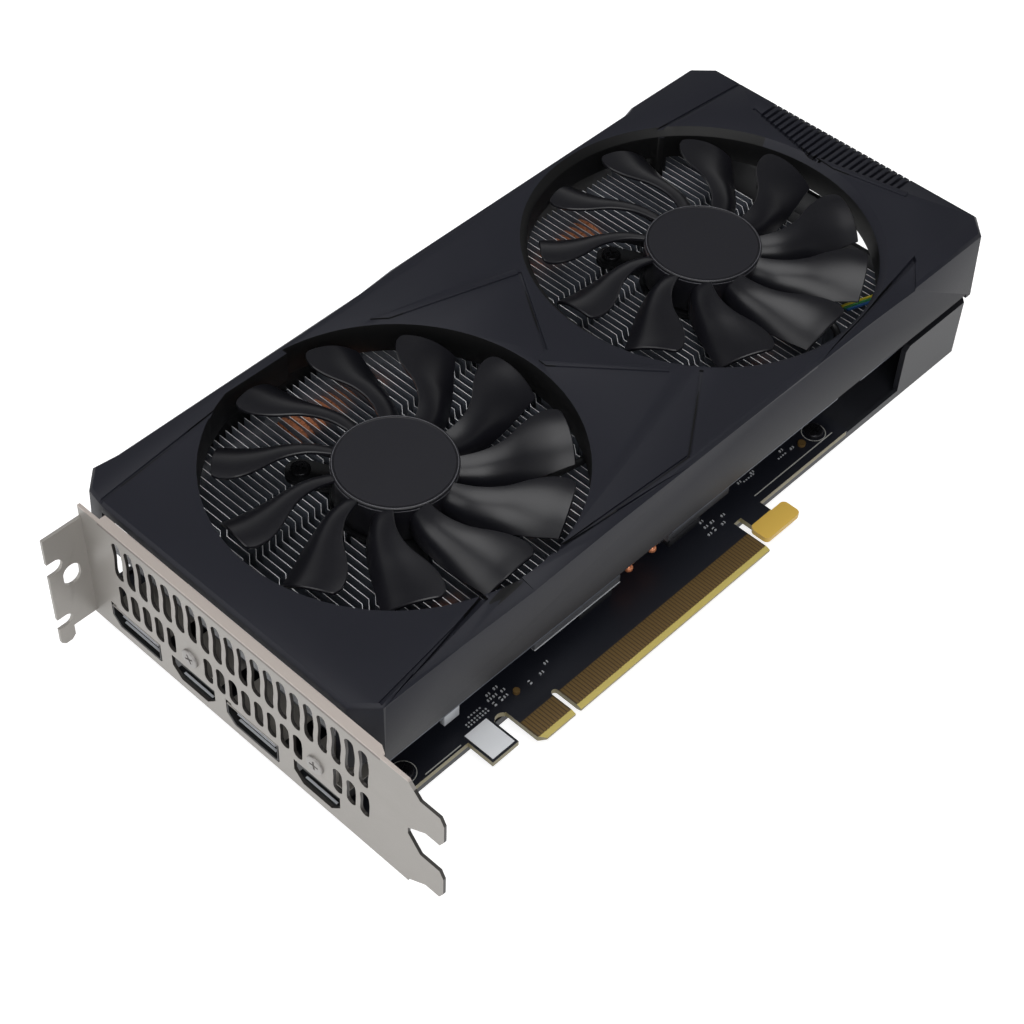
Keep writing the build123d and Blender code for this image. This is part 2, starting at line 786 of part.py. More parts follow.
hub_roof_z = hub_top_z - hub_rim - hub_roof
hub_boss_z = hub_roof_z - 1.5
bearing_radius = shaft_radius + bearing_running_gap + bearing_wall
tube_radius = bearing_radius + tube_wall
tube_top_z = hub_boss_z - air_gap
stator_low_z = base_top_z + 1.2
yoke_radius = hub_radius - hub_wall
magnet_radius = yoke_radius - yoke_wall
stator_radius = magnet_radius - magnet_wall - air_gap
bearing_low_z = fin_top_z + motor_base / 2
for side, x in fan_places.items():
    save(rotor(x, fan_phases[side]), f"{side}_rotor")
    save(ring_part(x, hub_radius - 2 * hub_rim, 0, hub_top_z - hub_rim, hub_top_z), f"{side}_hub_disc")
    save(ring_part(x, yoke_radius, magnet_radius, rotor_low_z + 0.8, hub_roof_z), f"{side}_yoke")
    magnet = ring_part(x, magnet_radius, magnet_radius - magnet_wall, rotor_low_z + 0.8, hub_roof_z - 1)
    save(magnet, f"{side}_magnet")
    save(ring_part(x, shaft_radius, 0, bearing_low_z + air_gap, hub_roof_z + hub_roof / 2), f"{side}_shaft")
    bearing = ring_part(x, bearing_radius, shaft_radius + bearing_running_gap, bearing_low_z, tube_top_z)
    save(bearing, f"{side}_bearing")
    save(motor_base_part(x), f"{side}_motor_base")
    save(stator_part(x), f"{side}_stator")

with BuildPart() as posts:
    rods(post_places, post_radius, fin_floor_z + fin_floor_thickness, fin_top_z)
    rods(post_places, screw_radius + screw_clearance, fin_top_z - boss_bore_depth, fin_top_z, Mode.SUBTRACT)
save(posts, "fan_posts")

with BuildPart() as fan_screws:
    rods(post_places, screw_head_radius, base_top_z, base_top_z + screw_head_height)
    rods(post_places, screw_radius, fin_top_z - boss_bore_depth + 1, base_top_z)
save(fan_screws, "fan_screws")

# ---------------------------------------------------------------- cooler
pipe_low_z = fin_floor_z - pipe_seat - pipe_radius
pipe_high_z = board_top + pipe_level
pipe_bend = (pipe_high_z - pipe_low_z) / 2 - pipe_gap
notch_low_z = pipe_high_z - pipe_radius - pipe_gap
notch_high_z = pipe_high_z + pipe_radius + pipe_gap
fin_right = fin_left + (fin_count - 1) * fin_pitch + fin_thickness + fin_jog
cold_plate_low_z = board_top + gpu_package_height + gpu_die_height
lead_notch_left = power_plug_x + lead_notch_offset
lead_notch_right = lead_notch_left + lead_notch_length

with BuildPart() as fins:
    with BuildSketch(Plane.XY.offset(fin_floor_z + fin_floor_thickness)):
        with Locations(*[(fin_left + step * fin_pitch, 0) for step in range(fin_count)]):
            Polygon(
                (0, fin_front),
                (fin_thickness, fin_front),
                (fin_thickness, fin_jog_row - fin_jog_length / 2),
                (fin_thickness + fin_jog, fin_jog_row + fin_jog_length / 2),
                (fin_thickness + fin_jog, fin_back),
                (fin_jog, fin_back),
                (fin_jog, fin_jog_row + fin_jog_length / 2),
                (0, fin_jog_row - fin_jog_length / 2),
                align=None,
            )
    extrude(amount=fin_top_z - fin_floor_z - fin_floor_thickness)
    block(fin_left, fin_right, fin_front, fin_back, fin_floor_z, fin_floor_z + fin_floor_thickness)
    # open channels for the upper runs of the heat pipes, and wells where they rise
    block(
        fin_left, front_pipe_ends[1] + 1, fin_front, pipe_row_front + pipe_radius + pipe_gap,
        notch_low_z, notch_high_z, Mode.SUBTRACT,
    )
    block(
        fin_left, back_pipe_ends[1] + 1, pipe_row_back - pipe_radius - pipe_gap, fin_back,
        notch_low_z, notch_high_z, Mode.SUBTRACT,
    )
    block(
        front_pipes[0] - pipe_bend, front_pipes[1] + pipe_bend, fin_front,
        pipe_row_front + pipe_bend, fin_floor_z, notch_high_z, Mode.SUBTRACT,
    )
    block(
        back_pipes[0] - pipe_bend, back_pipes[1] + pipe_bend, pipe_row_back - pipe_bend,
        fin_back, fin_floor_z, notch_high_z, Mode.SUBTRACT,
    )
    # room for the power connector and for the fan leads
    block(
        power_plug_x - power_plug_width / 2 - 1, power_plug_x + power_plug_width / 2 + 1,
        board_back + power_plug_overhang - power_plug_depth - 1, fin_back,
        fin_floor_z, board_top + power_plug_height + 1, Mode.SUBTRACT,
    )
    block(
        lead_notch_left, lead_notch_right, fin_front, fin_front + lead_notch_depth,
        fin_floor_z, fin_top_z, Mode.SUBTRACT,
    )
    # pockets for the shroud's bosses and the fans' posts
    for places, size in ((boss_places, boss_radius + pocket_gap), (post_places, post_radius + pocket_gap)):
        with BuildSketch(Plane.XY.offset(fin_floor_z + fin_floor_thickness)):
            with Locations(*places):
                Rectangle(2 * size, 2 * size)
        extrude(amount=fin_top_z - fin_floor_z, mode=Mode.SUBTRACT)
    rods(
        boss_places, screw_radius + screw_clearance, fin_floor_z,
        fin_floor_z + fin_floor_thickness, Mode.SUBTRACT,
    )
save(fins, "fin_stack")

with BuildPart() as cold_plate:
    block(
        gpu_x - cold_plate_size / 2, gpu_x + cold_plate_size / 2,
        gpu_y - cold_plate_size / 2, gpu_y + cold_plate_size / 2, cold_plate_low_z, fin_floor_z,
    )
    for x in front_pipes + back_pipes:
        half = pipe_radius + pipe_gap
        block(
            x - half, x + half, gpu_y - cold_plate_size / 2, gpu_y + cold_plate_size / 2,
            pipe_low_z - half, fin_floor_z, Mode.SUBTRACT,
        )
save(cold_plate, "cold_plate")


def heat_pipe(x, start, row, end):
    """Copper pipe from the cold plate out to one edge, up, and back across the fins."""
    with BuildPart() as pipe:
        with BuildLine() as route:
            FilletPolyline(
                (x, start, pipe_low_z),
                (x, row, pipe_low_z),
                (x, row, pipe_high_z),
                (end, row, pipe_high_z),
                radius=pipe_bend,
            )
        with BuildSketch(Plane(origin=route.line @ 0, z_dir=route.line % 0)):
            Circle(pipe_radius)
        sweep(path=route.line)
    return pipe


pipe_start = cold_plate_size / 2 - pipe_radius
for side, x, end in zip(("left", "right"), front_pipes, front_pipe_ends):
    save(heat_pipe(x, gpu_y + pipe_start, pipe_row_front, end), f"front_{side}_heat_pipe")
for side, x, end in zip(("left", "right"), back_pipes, back_pipe_ends):
    save(heat_pipe(x, gpu_y - pipe_start, pipe_row_back, end), f"back_{side}_heat_pipe")

with BuildPart() as side_plates:
    plate_low_z = board_top + plate_low
    block(plate_left, plate_right, fin_front, plate_back, plate_low_z, fin_floor_z)
    half = cold_plate_size / 2 + cold_plate_gap
    block(gpu_x - half, gpu_x + half, gpu_y - half, gpu_y + half, plate_low_z, fin_floor_z, Mode.SUBTRACT)
    block(
        gpu_x - front_channel / 2, gpu_x + front_channel / 2, fin_front, gpu_y,
        plate_low_z, fin_floor_z, Mode.SUBTRACT,
    )
    block(
        gpu_x - back_channel / 2, gpu_x + back_channel / 2, gpu_y, plate_back,
        plate_low_z, fin_floor_z, Mode.SUBTRACT,
    )
    rods(cooler_screw_places, standoff_radius, board_top, plate_low_z)
    rods(cooler_screw_places, screw_radius + screw_clearance, board_top, fin_floor_z - 1, Mode.SUBTRACT)
    rods(
        boss_places, screw_head_radius + pocket_gap, fin_floor_z - screw_head_height - pocket_gap,
        fin_floor_z, Mode.SUBTRACT,
    )
save(side_plates, "cooler_side_plates")

power_rows = [power_row_start + step * power_row_pitch for step in range(power_row_count)]
with BuildPart() as power_plate:
    block(
        stage_x - stage_length, stage_x + stage_length, power_rows[0] - stage_width,
        power_rows[-1] + stage_width, board_top + plate_low, fin_floor_z,
    )
save(power_plate, "power_stage_plate")

with BuildPart() as cooler_screws:
    rods(cooler_screw_places, screw_head_radius, board_under - screw_head_height, board_under)
    rods(cooler_screw_places, screw_radius, board_under, fin_floor_z - 2)
save(cooler_screws, "cooler_screws")

# ---------------------------------------------------------------- parts on the board
with BuildPart() as package:
    half = gpu_package / 2
    block(gpu_x - half, gpu_x + half, gpu_y - half, gpu_y + half, board_top, board_top + gpu_package_height)
save(package, "gpu_package")

with BuildPart() as die:
    block(
        gpu_x - gpu_die_x / 2, gpu_x + gpu_die_x / 2, gpu_y - gpu_die_y / 2, gpu_y + gpu_die_y / 2,
        board_top + gpu_package_height, cold_plate_low_z,
    )
save(die, "gpu_die")


def chips(places, length, width, low, high):
    """Flat rectangular parts, one at each place."""
    with BuildPart() as group:
        with BuildSketch(Plane.XY.offset(low)):
            with Locations(*places):
                Rectangle(length, width)
        extrude(amount=high - low)
    return group


stage_places = [(stage_x, y) for y in power_rows]
memory_top_z = board_top + memory_height
stage_top_z = board_top + stage_height
save(chips(memory_places, memory_width, memory_length, board_top, memory_top_z), "memory_chips")
save(chips(memory_places, memory_width, memory_length, memory_top_z, board_top + plate_low), "memory_pads")
save(chips(stage_places, stage_length, stage_width, board_top, stage_top_z), "power_stages")
save(chips(stage_places, stage_length, stage_width, stage_top_z, board_top + plate_low), "power_stage_pads")

with BuildPart() as inductors:
    with BuildSketch(Plane.XY.offset(board_top)):
        with Locations(*[(inductor_x, y) for y in power_rows]):
            Rectangle(inductor_size, inductor_size)
    extrude(amount=inductor_height)
    chamfer(inductors.edges().group_by(Axis.Z)[-1], inductor_size / 12)
save(inductors, "power_inductors")

with BuildPart() as capacitors:
    rods([(capacitor_x, y) for y in power_rows], capacitor_radius, board_top, board_top + capacitor_height)
    chamfer(capacitors.edges().group_by(Axis.Z)[-1], capacitor_radius / 10)
save(capacitors, "capacitors")

plug_face = board_back + power_plug_overhang
with BuildPart() as power_plug:
    block(
        power_plug_x - power_plug_width / 2, power_plug_x + power_plug_width / 2,
        plug_face - power_plug_depth, plug_face, board_top, board_top + power_plug_height,
    )
    with BuildSketch(Plane.XZ.offset(-plug_face)):
        with Locations((power_plug_x, board_top + power_plug_height / 2)):
            with GridLocations(power_cell_pitch, power_cell_pitch, 4, 2):
                Rectangle(power_cell, power_cell)
    extrude(amount=power_cell_depth, mode=Mode.SUBTRACT)
save(power_plug, "power_connector")

with BuildPart() as header:
    block(
        header_x - header_width / 2, header_x + header_width / 2, header_y - header_depth / 2,
        header_y + header_depth / 2, board_top, board_top + header_height,
    )
save(header, "fan_header")

# ---------------------------------------------------------------- fan leads
lead_z = fin_top_z + lead_radius + pipe_gap
header_mouth = header_x + header_width / 2
mouth_z = board_top + header_height / 2


def lead(points):
    """Sleeved lead from a motor base to the board."""
    with BuildPart() as cable:
        with BuildLine() as route:
            FilletPolyline(*points, radius=lead_bend)
        with BuildSketch(Plane(origin=route.line @ 0, z_dir=route.line % 0)):
            Circle(lead_radius)
        sweep(path=route.line)
    return cable


turn = radians(-45)
near_row = header_y - 1.2
far_row = header_y + 1.2
near_drop = lead_notch_left + 3.3
far_drop = lead_notch_right - 2.7
near_route = [
    (near_fan + (motor_base_radius + 0.1) * cos(turn), fan_row + (motor_base_radius + 0.1) * sin(turn), lead_z),
    (near_fan + 21.0, fan_row - 20.0, lead_z),
    (near_fan + 42.0, fan_row - 24.0, lead_z),
    (near_fan + 63.0, fan_row - 27.0, lead_z),
    (near_fan + 78.0, near_row, lead_z),
    (near_drop, near_row, lead_z),
    (near_drop, near_row, mouth_z),
    (header_mouth, near_row, mouth_z),
]
far_route = [
    (far_fan + 5.0, fan_row - motor_base_radius - 0.1, lead_z),
    (far_fan + 5.0, fan_row - motor_base_radius - 8.0, lead_z),
    (far_drop, fan_row - motor_base_radius - 18.0, lead_z),
    (far_drop, far_row, lead_z),
    (far_drop, far_row, mouth_z),
    (header_mouth, far_row, mouth_z),
]
save(lead(near_route), "near_fan_lead")
save(lead(far_route), "far_fan_lead")

# ---------------------------------------------------------------- backplate
backplate_outline = [
    (backplate_left, backplate_front + backplate_corner),
    (backplate_left + backplate_corner, backplate_front),
    (backplate_right - backplate_cut, backplate_front),
    (backplate_right, backplate_front + backplate_cut),
    (backplate_right, backplate_back - backplate_cut),
    (backplate_right - backplate_cut, backplate_back),
    (backplate_left + backplate_corner, backplate_back),
    (backplate_left, backplate_back - backplate_corner),
]
cap_top_z = board_top + cap_top
with BuildPart() as backplate:
    with BuildSketch(Plane.XY.offset(backplate_z)):
        Polygon(*backplate_outline, align=None)
    extrude(amount=backplate_rim)
    with BuildSketch(Plane.XY.offset(backplate_z + backplate_sheet)):
        Polygon(*backplate_outline, align=None)
        offset(amount=-backplate_sheet, kind=Kind.INTERSECTION, mode=Mode.REPLACE)
    extrude(amount=backplate_rim, mode=Mode.SUBTRACT)
    # upright wall that closes the far end and wraps the end of the front edge
    with BuildSketch(Plane.XY.offset(backplate_z)):
        Polygon(*backplate_outline, align=None)
        with BuildSketch(Plane.XY.offset(backplate_z), mode=Mode.SUBTRACT):
            Polygon(*backplate_outline, align=None)
            offset(amount=-cap_wall, kind=Kind.INTERSECTION, mode=Mode.REPLACE)
        with Locations((cap_left, backplate_front)):
            Rectangle(
                backplate_right - cap_left, backplate_back - 2 * backplate_cut - backplate_front,
                align=(Align.MIN, Align.MIN), mode=Mode.INTERSECT,
            )
    extrude(amount=cap_top_z - backplate_z)
    with BuildSketch(Plane.XZ.offset(cap_wall - backplate_front)):
        Polygon(
            (cap_left - cap_corner, cap_top_z - 2 * cap_corner),
            (cap_left + 2 * cap_corner, cap_top_z + cap_corner),
            (cap_left - cap_corner, cap_top_z + cap_corner),
            align=None,
        )
    extrude(amount=-3 * cap_wall, mode=Mode.SUBTRACT)
    # air leaves over a lower stretch of the far wall
    block(
        backplate_right - 2 * cap_wall, backplate_right + cap_wall,
        fan_row - exit_width / 2, fan_row + exit_width / 2,
        board_top + exit_floor, cap_top_z + cap_wall, Mode.SUBTRACT,
    )
    # the window behind the far fan lets its air pass straight through
    block(
        flow_left, flow_right, flow_front, flow_back, backplate_z, backplate_z + backplate_sheet,
        Mode.SUBTRACT,
    )
    rods(cooler_screw_places, 2 * screw_head_radius, backplate_z, backplate_z + backplate_sheet, Mode.SUBTRACT)
    rods(board_screw_places, standoff_radius, backplate_z + backplate_sheet, board_under)
    rods(
        board_screw_places, screw_radius + screw_clearance, backplate_z + backplate_sheet,
        board_under, Mode.SUBTRACT,
    )
save(backplate, "backplate")

with BuildPart() as board_screws:
    rods(board_screw_places, screw_head_radius, board_top, board_top + screw_head_height)
    rods(board_screw_places, screw_radius, backplate_z + backplate_sheet + 0.5, board_top)
save(board_screws, "board_screws")
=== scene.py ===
import json
import math
import random

import bpy
from mathutils import Matrix, Vector


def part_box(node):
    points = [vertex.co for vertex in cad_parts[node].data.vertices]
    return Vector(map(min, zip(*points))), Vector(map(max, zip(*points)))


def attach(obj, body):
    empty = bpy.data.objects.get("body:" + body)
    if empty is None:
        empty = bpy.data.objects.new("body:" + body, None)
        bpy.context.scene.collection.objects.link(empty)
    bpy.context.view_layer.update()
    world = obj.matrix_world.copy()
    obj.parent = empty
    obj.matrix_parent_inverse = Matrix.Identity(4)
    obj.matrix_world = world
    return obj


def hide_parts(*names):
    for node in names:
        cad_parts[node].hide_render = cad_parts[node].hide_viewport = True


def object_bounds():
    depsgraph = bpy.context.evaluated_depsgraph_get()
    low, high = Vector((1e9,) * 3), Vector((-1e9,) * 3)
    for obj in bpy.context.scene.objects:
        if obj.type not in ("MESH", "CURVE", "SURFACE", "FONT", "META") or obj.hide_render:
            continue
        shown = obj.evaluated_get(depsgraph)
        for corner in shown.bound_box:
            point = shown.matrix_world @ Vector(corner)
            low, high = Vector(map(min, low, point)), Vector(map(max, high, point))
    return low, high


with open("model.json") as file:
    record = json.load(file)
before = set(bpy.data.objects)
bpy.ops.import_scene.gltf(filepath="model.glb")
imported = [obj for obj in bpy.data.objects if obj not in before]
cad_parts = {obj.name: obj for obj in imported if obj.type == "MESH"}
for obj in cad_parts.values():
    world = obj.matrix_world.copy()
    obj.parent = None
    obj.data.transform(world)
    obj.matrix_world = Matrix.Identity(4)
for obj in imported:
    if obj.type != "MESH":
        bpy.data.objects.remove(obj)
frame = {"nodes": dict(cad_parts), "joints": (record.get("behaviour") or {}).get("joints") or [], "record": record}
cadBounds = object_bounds()
mm = 0.001
print("frame loaded:", len(frame["nodes"]), "nodes")

# Where things are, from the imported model
fanAxes = {joint["child"]: Vector(joint["pos_m"]) for joint in frame["joints"]}
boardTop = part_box("circuit_board")[1].z
hair = 0.01 * mm  # what is this near to a level is taken to be on it
margin, through = 1.0, 3.0  # how far a cutter starts before a sheet, and how far it runs, in millimetres


# Small tools for modelling

def at(x, y, z):  # millimetres, with heights above the board's upper face
    return Vector((x, y, z)) * mm + Vector((0, 0, boardTop))


def clearSelection():
    active = bpy.context.view_layer.objects.active
    if active and active.mode != "OBJECT":
        bpy.ops.object.mode_set(mode="OBJECT")
    bpy.ops.object.select_all(action="DESELECT")


def pick(piece):
    clearSelection()
    piece.select_set(True)
    bpy.context.view_layer.objects.active = piece


def settle(piece):  # place, turn and size go into the mesh
    pick(piece)
    bpy.ops.object.transform_apply(location=True, rotation=True, scale=True)


def modify(piece, kind, **settings):
    pick(piece)
    modifier = piece.modifiers.new(kind, kind)
    for key, value in settings.items():
        setattr(modifier, key, value)
    bpy.ops.object.modifier_apply(modifier=modifier.name)


def soften(piece, width, segments=1, angle=40):  # rounds the edges that turn by more than the angle
    modify(
        piece, "BEVEL", width=width * mm, segments=segments, limit_method="ANGLE",
        angle_limit=math.radians(angle),
    )


def carve(piece, cutter):
    modify(piece, "BOOLEAN", object=cutter, operation="DIFFERENCE", solver="EXACT")
    bpy.data.objects.remove(cutter)


def editAll(piece):
    pick(piece)
    bpy.ops.object.mode_set(mode="EDIT")
    bpy.ops.mesh.select_mode(type="VERT")
    bpy.ops.mesh.select_all(action="SELECT")


def pickFaces(piece, test):  # in edit mode, only the faces that pass stay selected
    bpy.ops.mesh.select_mode(type="FACE")
    bpy.ops.mesh.select_all(action="DESELECT")
    bpy.ops.object.mode_set(mode="OBJECT")
    for face in piece.data.polygons:
        face.select = test(face)
    bpy.ops.object.mode_set(mode="EDIT")


def done(piece, body, slot, replaces=(), finish=None, smooth=35):  # the slot's finish, or the one named
    pick(piece)
    bpy.ops.object.shade_smooth_by_angle(angle=math.radians(smooth))
    piece.data.materials.clear()
    piece.data.materials.append(finishes[finish or slot])
    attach(piece, body)
    if replaces:
        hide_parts(*replaces)


def added(name, primitive, flat=1.0, **settings):  # a primitive, its height times flat
    clearSelection()
    primitive(**settings)
    piece = bpy.context.object
    piece.name = name
    piece.scale.z *= flat
    settle(piece)
    return piece


def addBlock(name, low, high):
    low, high = at(*low), at(*high)
    cube = bpy.ops.mesh.primitive_cube_add
    return added(name, cube, size=1, location=(low + high) / 2, scale=high - low)


def addRod(name, centre, radius, depth, sides=48):  # an upright rod
    rod = bpy.ops.mesh.primitive_cylinder_add
    return added(name, rod, vertices=sides, radius=radius * mm, depth=depth * mm, location=at(*centre))


def addRing(name, centre, radius, half, sides, flat=1.0):  # sides round the ring and round its wire
    return added(
        name, bpy.ops.mesh.primitive_torus_add, flat, major_radius=radius * mm, minor_radius=half * mm,
        major_segments=sides[0], minor_segments=sides[1], location=at(*centre),
    )


def addPlate(name, outline, sweep):  # a flat face inside the outline, drawn out along sweep
    clearSelection()
    bpy.ops.mesh.primitive_circle_add(vertices=len(outline), radius=1, fill_type="NGON")
    piece = bpy.context.object
    piece.name = name
    for vertex, point in zip(piece.data.vertices, outline):
        vertex.co = point
    editAll(piece)
    bpy.ops.mesh.extrude_region_move(TRANSFORM_OT_translate={"value": sweep})
    bpy.ops.mesh.select_all(action="SELECT")
    bpy.ops.mesh.normals_make_consistent(inside=False)
    bpy.ops.object.mode_set(mode="OBJECT")
    return piece


def newObject(name, data):
    piece = bpy.data.objects.new(name, data)
    bpy.context.scene.collection.objects.link(piece)
    return piece


def copyOf(node, name):  # a merged copy of a node's mesh, with its flat faces made whole
    piece = newObject(name, frame["nodes"][node].data.copy())
    editAll(piece)
    bpy.ops.mesh.remove_doubles(threshold=0.002 * mm)
    bpy.ops.mesh.dissolve_limited(angle_limit=math.radians(0.4))
    bpy.ops.object.mode_set(mode="OBJECT")
    return piece


def sink(piece):  # from the board's upper face down to the origin, to be turned and placed there
    piece.data.transform(Matrix.Translation((0, 0, -boardTop)))


def joined(pieces, name):
    clearSelection()
    for piece in pieces:
        piece.select_set(True)
    bpy.context.view_layer.objects.active = pieces[0]
    bpy.ops.object.join()
    pieces[0].name = name
    return pieces[0]


def twin(piece, matrix):  # a copy with its own mesh, moved by a matrix
    other = piece.copy()
    other.data = piece.data.copy()
    bpy.context.scene.collection.objects.link(other)
    other.data.transform(matrix)
    return other


# Finishes

def paint(code):  # "#rrggbb" as the shader's linear colour
    parts = [int(code[place:place + 2], 16) / 255 for place in (1, 3, 5)]
    return (*[part / 12.92 if part < 0.04045 else ((part + 0.055) / 1.055) ** 2.4 for part in parts], 1.0)


class Wire:  # one output socket that can stand in plain sums
    def __init__(self, finish, socket):
        self.finish = finish
        self.socket = socket

    def maths(self, operation, *values):
        return self.finish.node("ShaderNodeMath", {"operation": operation}, dict(enumerate(values)))

    def __add__(self, other):
        return self.maths("ADD", self, other)

    def __radd__(self, other):
        return self.maths("ADD", other, self)

    def __sub__(self, other):
        return self.maths("SUBTRACT", self, other)

    def __rsub__(self, other):
        return self.maths("SUBTRACT", other, self)

    def __mul__(self, other):
        return self.maths("MULTIPLY", self, other)

    def __rmul__(self, other):
        return self.maths("MULTIPLY", other, self)

    def __gt__(self, other):
        return self.maths("GREATER_THAN", self, other)

    def __lt__(self, other):
        return self.maths("LESS_THAN", self, other)

    def __abs__(self):
        return self.maths("ABSOLUTE", self)

    def within(self, low, high):
        return (self > low) * (self < high)


class Finish:  # a material, or the world, that is built node by node
    def __init__(self, name, kind="materials", shader="Principled BSDF"):
        self.material = getattr(bpy.data, kind).new(name)
        self.material.use_nodes = True
        self.tree = self.material.node_tree
        self.shader = self.tree.nodes[shader]
        self.place = self.node("ShaderNodeTexCoord", output="Object")

    def node(self, kind, settings=None, inputs=None, output=0):
        made = self.tree.nodes.new(kind)
        for key, value in (settings or {}).items():
            setattr(made, key, value)
        for key, value in (inputs or {}).items():
            self.feed(made.inputs[key], value)
        return Wire(self, made.outputs[output])

    def feed(self, socket, value):
        if isinstance(value, Wire):
            self.tree.links.new(value.socket, socket)
        else:
            socket.default_value = value

    def noise(self, size, detail=2.0, stretch=(1, 1, 1)):  # features about size millimetres across
        spot = self.node("ShaderNodeMapping", {}, {"Vector": self.place, "Scale": stretch})
        inputs = {"Vector": spot, "Scale": 1 / (size * mm), "Detail": detail}
        return self.node("ShaderNodeTexNoise", {}, inputs)

    def blend(self, factor, first, second):
        settings = {"data_type": "RGBA"}
        return self.node("ShaderNodeMix", settings, {"Factor": factor, 6: first, 7: second}, output=2)

    def axis(self, name):
        return self.node("ShaderNodeSeparateXYZ", {}, {"Vector": self.place}, output=name)

    def facing(self, name):  # how much the surface faces along an axis
        normal = self.node("ShaderNodeTexCoord", output="Normal")
        return self.node("ShaderNodeSeparateXYZ", {}, {"Vector": normal}, output=name)

    def mottled(self, shades, size=None, detail=2.0, by=None):  # two shades in soft clouds
        cloud = by or self.noise(size, detail)
        return self.blend(cloud, paint(shades[0]), paint(shades[1]))

    def bump(self, height, depth):  # depth in millimetres
        return self.node("ShaderNodeBump", {}, {"Height": height, "Distance": depth * mm})

    def use(self, **sockets):
        for key, value in sockets.items():
            self.feed(self.shader.inputs[key.replace("_", " ")], value)
        return self.material


# Plain finishes: two shades, roughness, size and depth of the grain in millimetres, then metal share and IOR
looks = {
    "blade_plastic": ("#121217", "#16161b", 0.33, 0.5, 0.006),
    "disc_film": ("#1b1b21", "#1e1e24", 0.55, 0.8, 0.004, 0.0, 1.38),
    "backplate_paint": ("#1b1c20", "#212228", 0.45, 0.25, 0.01),
    "screw_steel": ("#8a8785", "#a09d9a", 0.34, 0.2, 0.003, 0.5),
    "dark_steel": ("#242427", "#2f2f33", 0.28, 0.2, 0.003, 0.7),
    # pale colour of the hub rims, a painted highlight
    "rim_plastic": ("#5d5d63", "#6b6b71", 0.4, 0.5, 0.004),
    "contact_gold": ("#6b5430", "#7a6138", 0.38, 0.5, 0.002, 0.25),
    "tinned_metal": ("#c9ccd1", "#dcdfe3", 0.3, 1.5, 0.02, 0.15),
    "plate_dark": ("#5a5b60", "#6c6d72", 0.4, 0.5, 0.01, 0.3),
    "plate_aluminium": ("#a6a7aa", "#bdbec1", 0.36, 0.6, 0.01, 1.0),
    "copper": ("#cf7c52", "#eb9f76", 0.28, 0.9, 0.008, 0.4),
    "nickelled_copper": ("#b9b6b0", "#c9c6c0", 0.3, 0.5, 0.004, 1.0),
    "insulator_plastic": ("#111214", "#17181b", 0.5, 0.3, 0.005),
    "chip_resin": ("#15161a", "#1b1c20", 0.55, 0.15, 0.006),
    "substrate": ("#1f3a2a", "#24442f", 0.4, 0.5, 0.004),
    "silicon": ("#3a3c44", "#494c55", 0.12, 2.0, 0.001, 0.6),
    "thermal_pad": ("#1d1e22", "#24252a", 0.8, 0.3, 0.02),
    "ferrite": ("#2b2c2f", "#35363a", 0.6, 0.2, 0.01),
    "capacitor_can": ("#a7a8aa", "#b7b8ba", 0.3, 0.6, 0.004, 1.0),
    "connector_plastic": ("#101113", "#16171a", 0.45, 0.4, 0.006),
    "magnet_ferrite": ("#26262a", "#2f2f33", 0.55, 0.2, 0.01),
    "motor_steel": ("#7e7f82", "#8e8f92", 0.4, 0.4, 0.006, 1.0),
    "bearing_bronze": ("#8c6a3f", "#9b774a", 0.4, 0.3, 0.008, 1.0),
    "lead_sleeve": ("#121315", "#1a1b1e", 0.5, 0.5, 0.01),
}
plain = {"cloud": 14.0, "spread": 0.1}  # size of the clouds, and how much the grain changes the roughness


def makeFinish(name, first, second, rough, grainSize, depth, metal=0.0, ior=1.5):
    finish = Finish(name)
    colour = finish.mottled((first, second), plain["cloud"], 3.0)
    grain = finish.noise(grainSize, 4.0)
    return finish.use(
        Base_Color=colour,
        Roughness=rough + (grain - 0.5) * plain["spread"],
        Metallic=metal,
        IOR=ior,
        Normal=finish.bump(grain, depth),
    )


finishes = {slot: makeFinish(slot, *look) for slot, look in looks.items()}

laminate = {  # shades, and where they begin and end in millimetres
    "mask": ("#13151d", "#181a23"),
    "bare": "#c9b765",
    "hook": "#e9c058",
    "fingers": "#4a3a20",
    "walls": "#8d8462",
    "marks": ("#9c9d98", "#c4c4bd"),
    "fingerEnd": 7.4,
    "fingerLeft": -12.7,
    "fingerRight": 72.7,
    "bevelEnd": 1.5,
    "hookLeft": 74.3,
    "hookEnd": 8.4,
    "wallsEnd": 18.5,
    "steep": 0.4,  # what faces up less than this is a cut wall
}


def boardFinish():  # solder mask over bare yellow laminate at the connector, the hook and the cut walls
    look = laminate
    finish = Finish("board_laminate_bare_edges")
    x, y = finish.axis("X"), finish.axis("Y")
    up = abs(finish.facing("Z"))
    grain = finish.noise(0.5, 4.0)
    colour = finish.mottled(look["mask"], 22.0)
    left, right = look["fingerLeft"] * mm, look["fingerRight"] * mm
    fingers = (y < look["fingerEnd"] * mm) * x.within(left, right)
    colour = finish.blend(fingers, colour, paint(look["fingers"]))
    bare = (y < look["bevelEnd"] * mm) * (x > left)
    colour = finish.blend(bare, colour, paint(look["bare"]))
    hook = (y < look["hookEnd"] * mm) * (x > look["hookLeft"] * mm)
    colour = finish.blend(hook, colour, paint(look["hook"]))
    walls = (up < look["steep"]) * (y < look["wallsEnd"] * mm) * (1 - hook)
    colour = finish.blend(walls, colour, paint(look["walls"]))
    return finish.use(Base_Color=colour, Roughness=0.36 + grain * 0.1, Normal=finish.bump(grain, 0.004))


def markFinish():  # printed white ink
    finish = Finish("board_laminate_white_marks")
    colour = finish.mottled(laminate["marks"], 0.3, 4.0)
    return finish.use(Base_Color=colour, Roughness=0.6)


# colours for the fins' sides, and a painted highlight colour for their upward faces
finned = {"sides": ("#5d626c", "#747983"), "edges": "#f9fafc", "upright": 0.7}


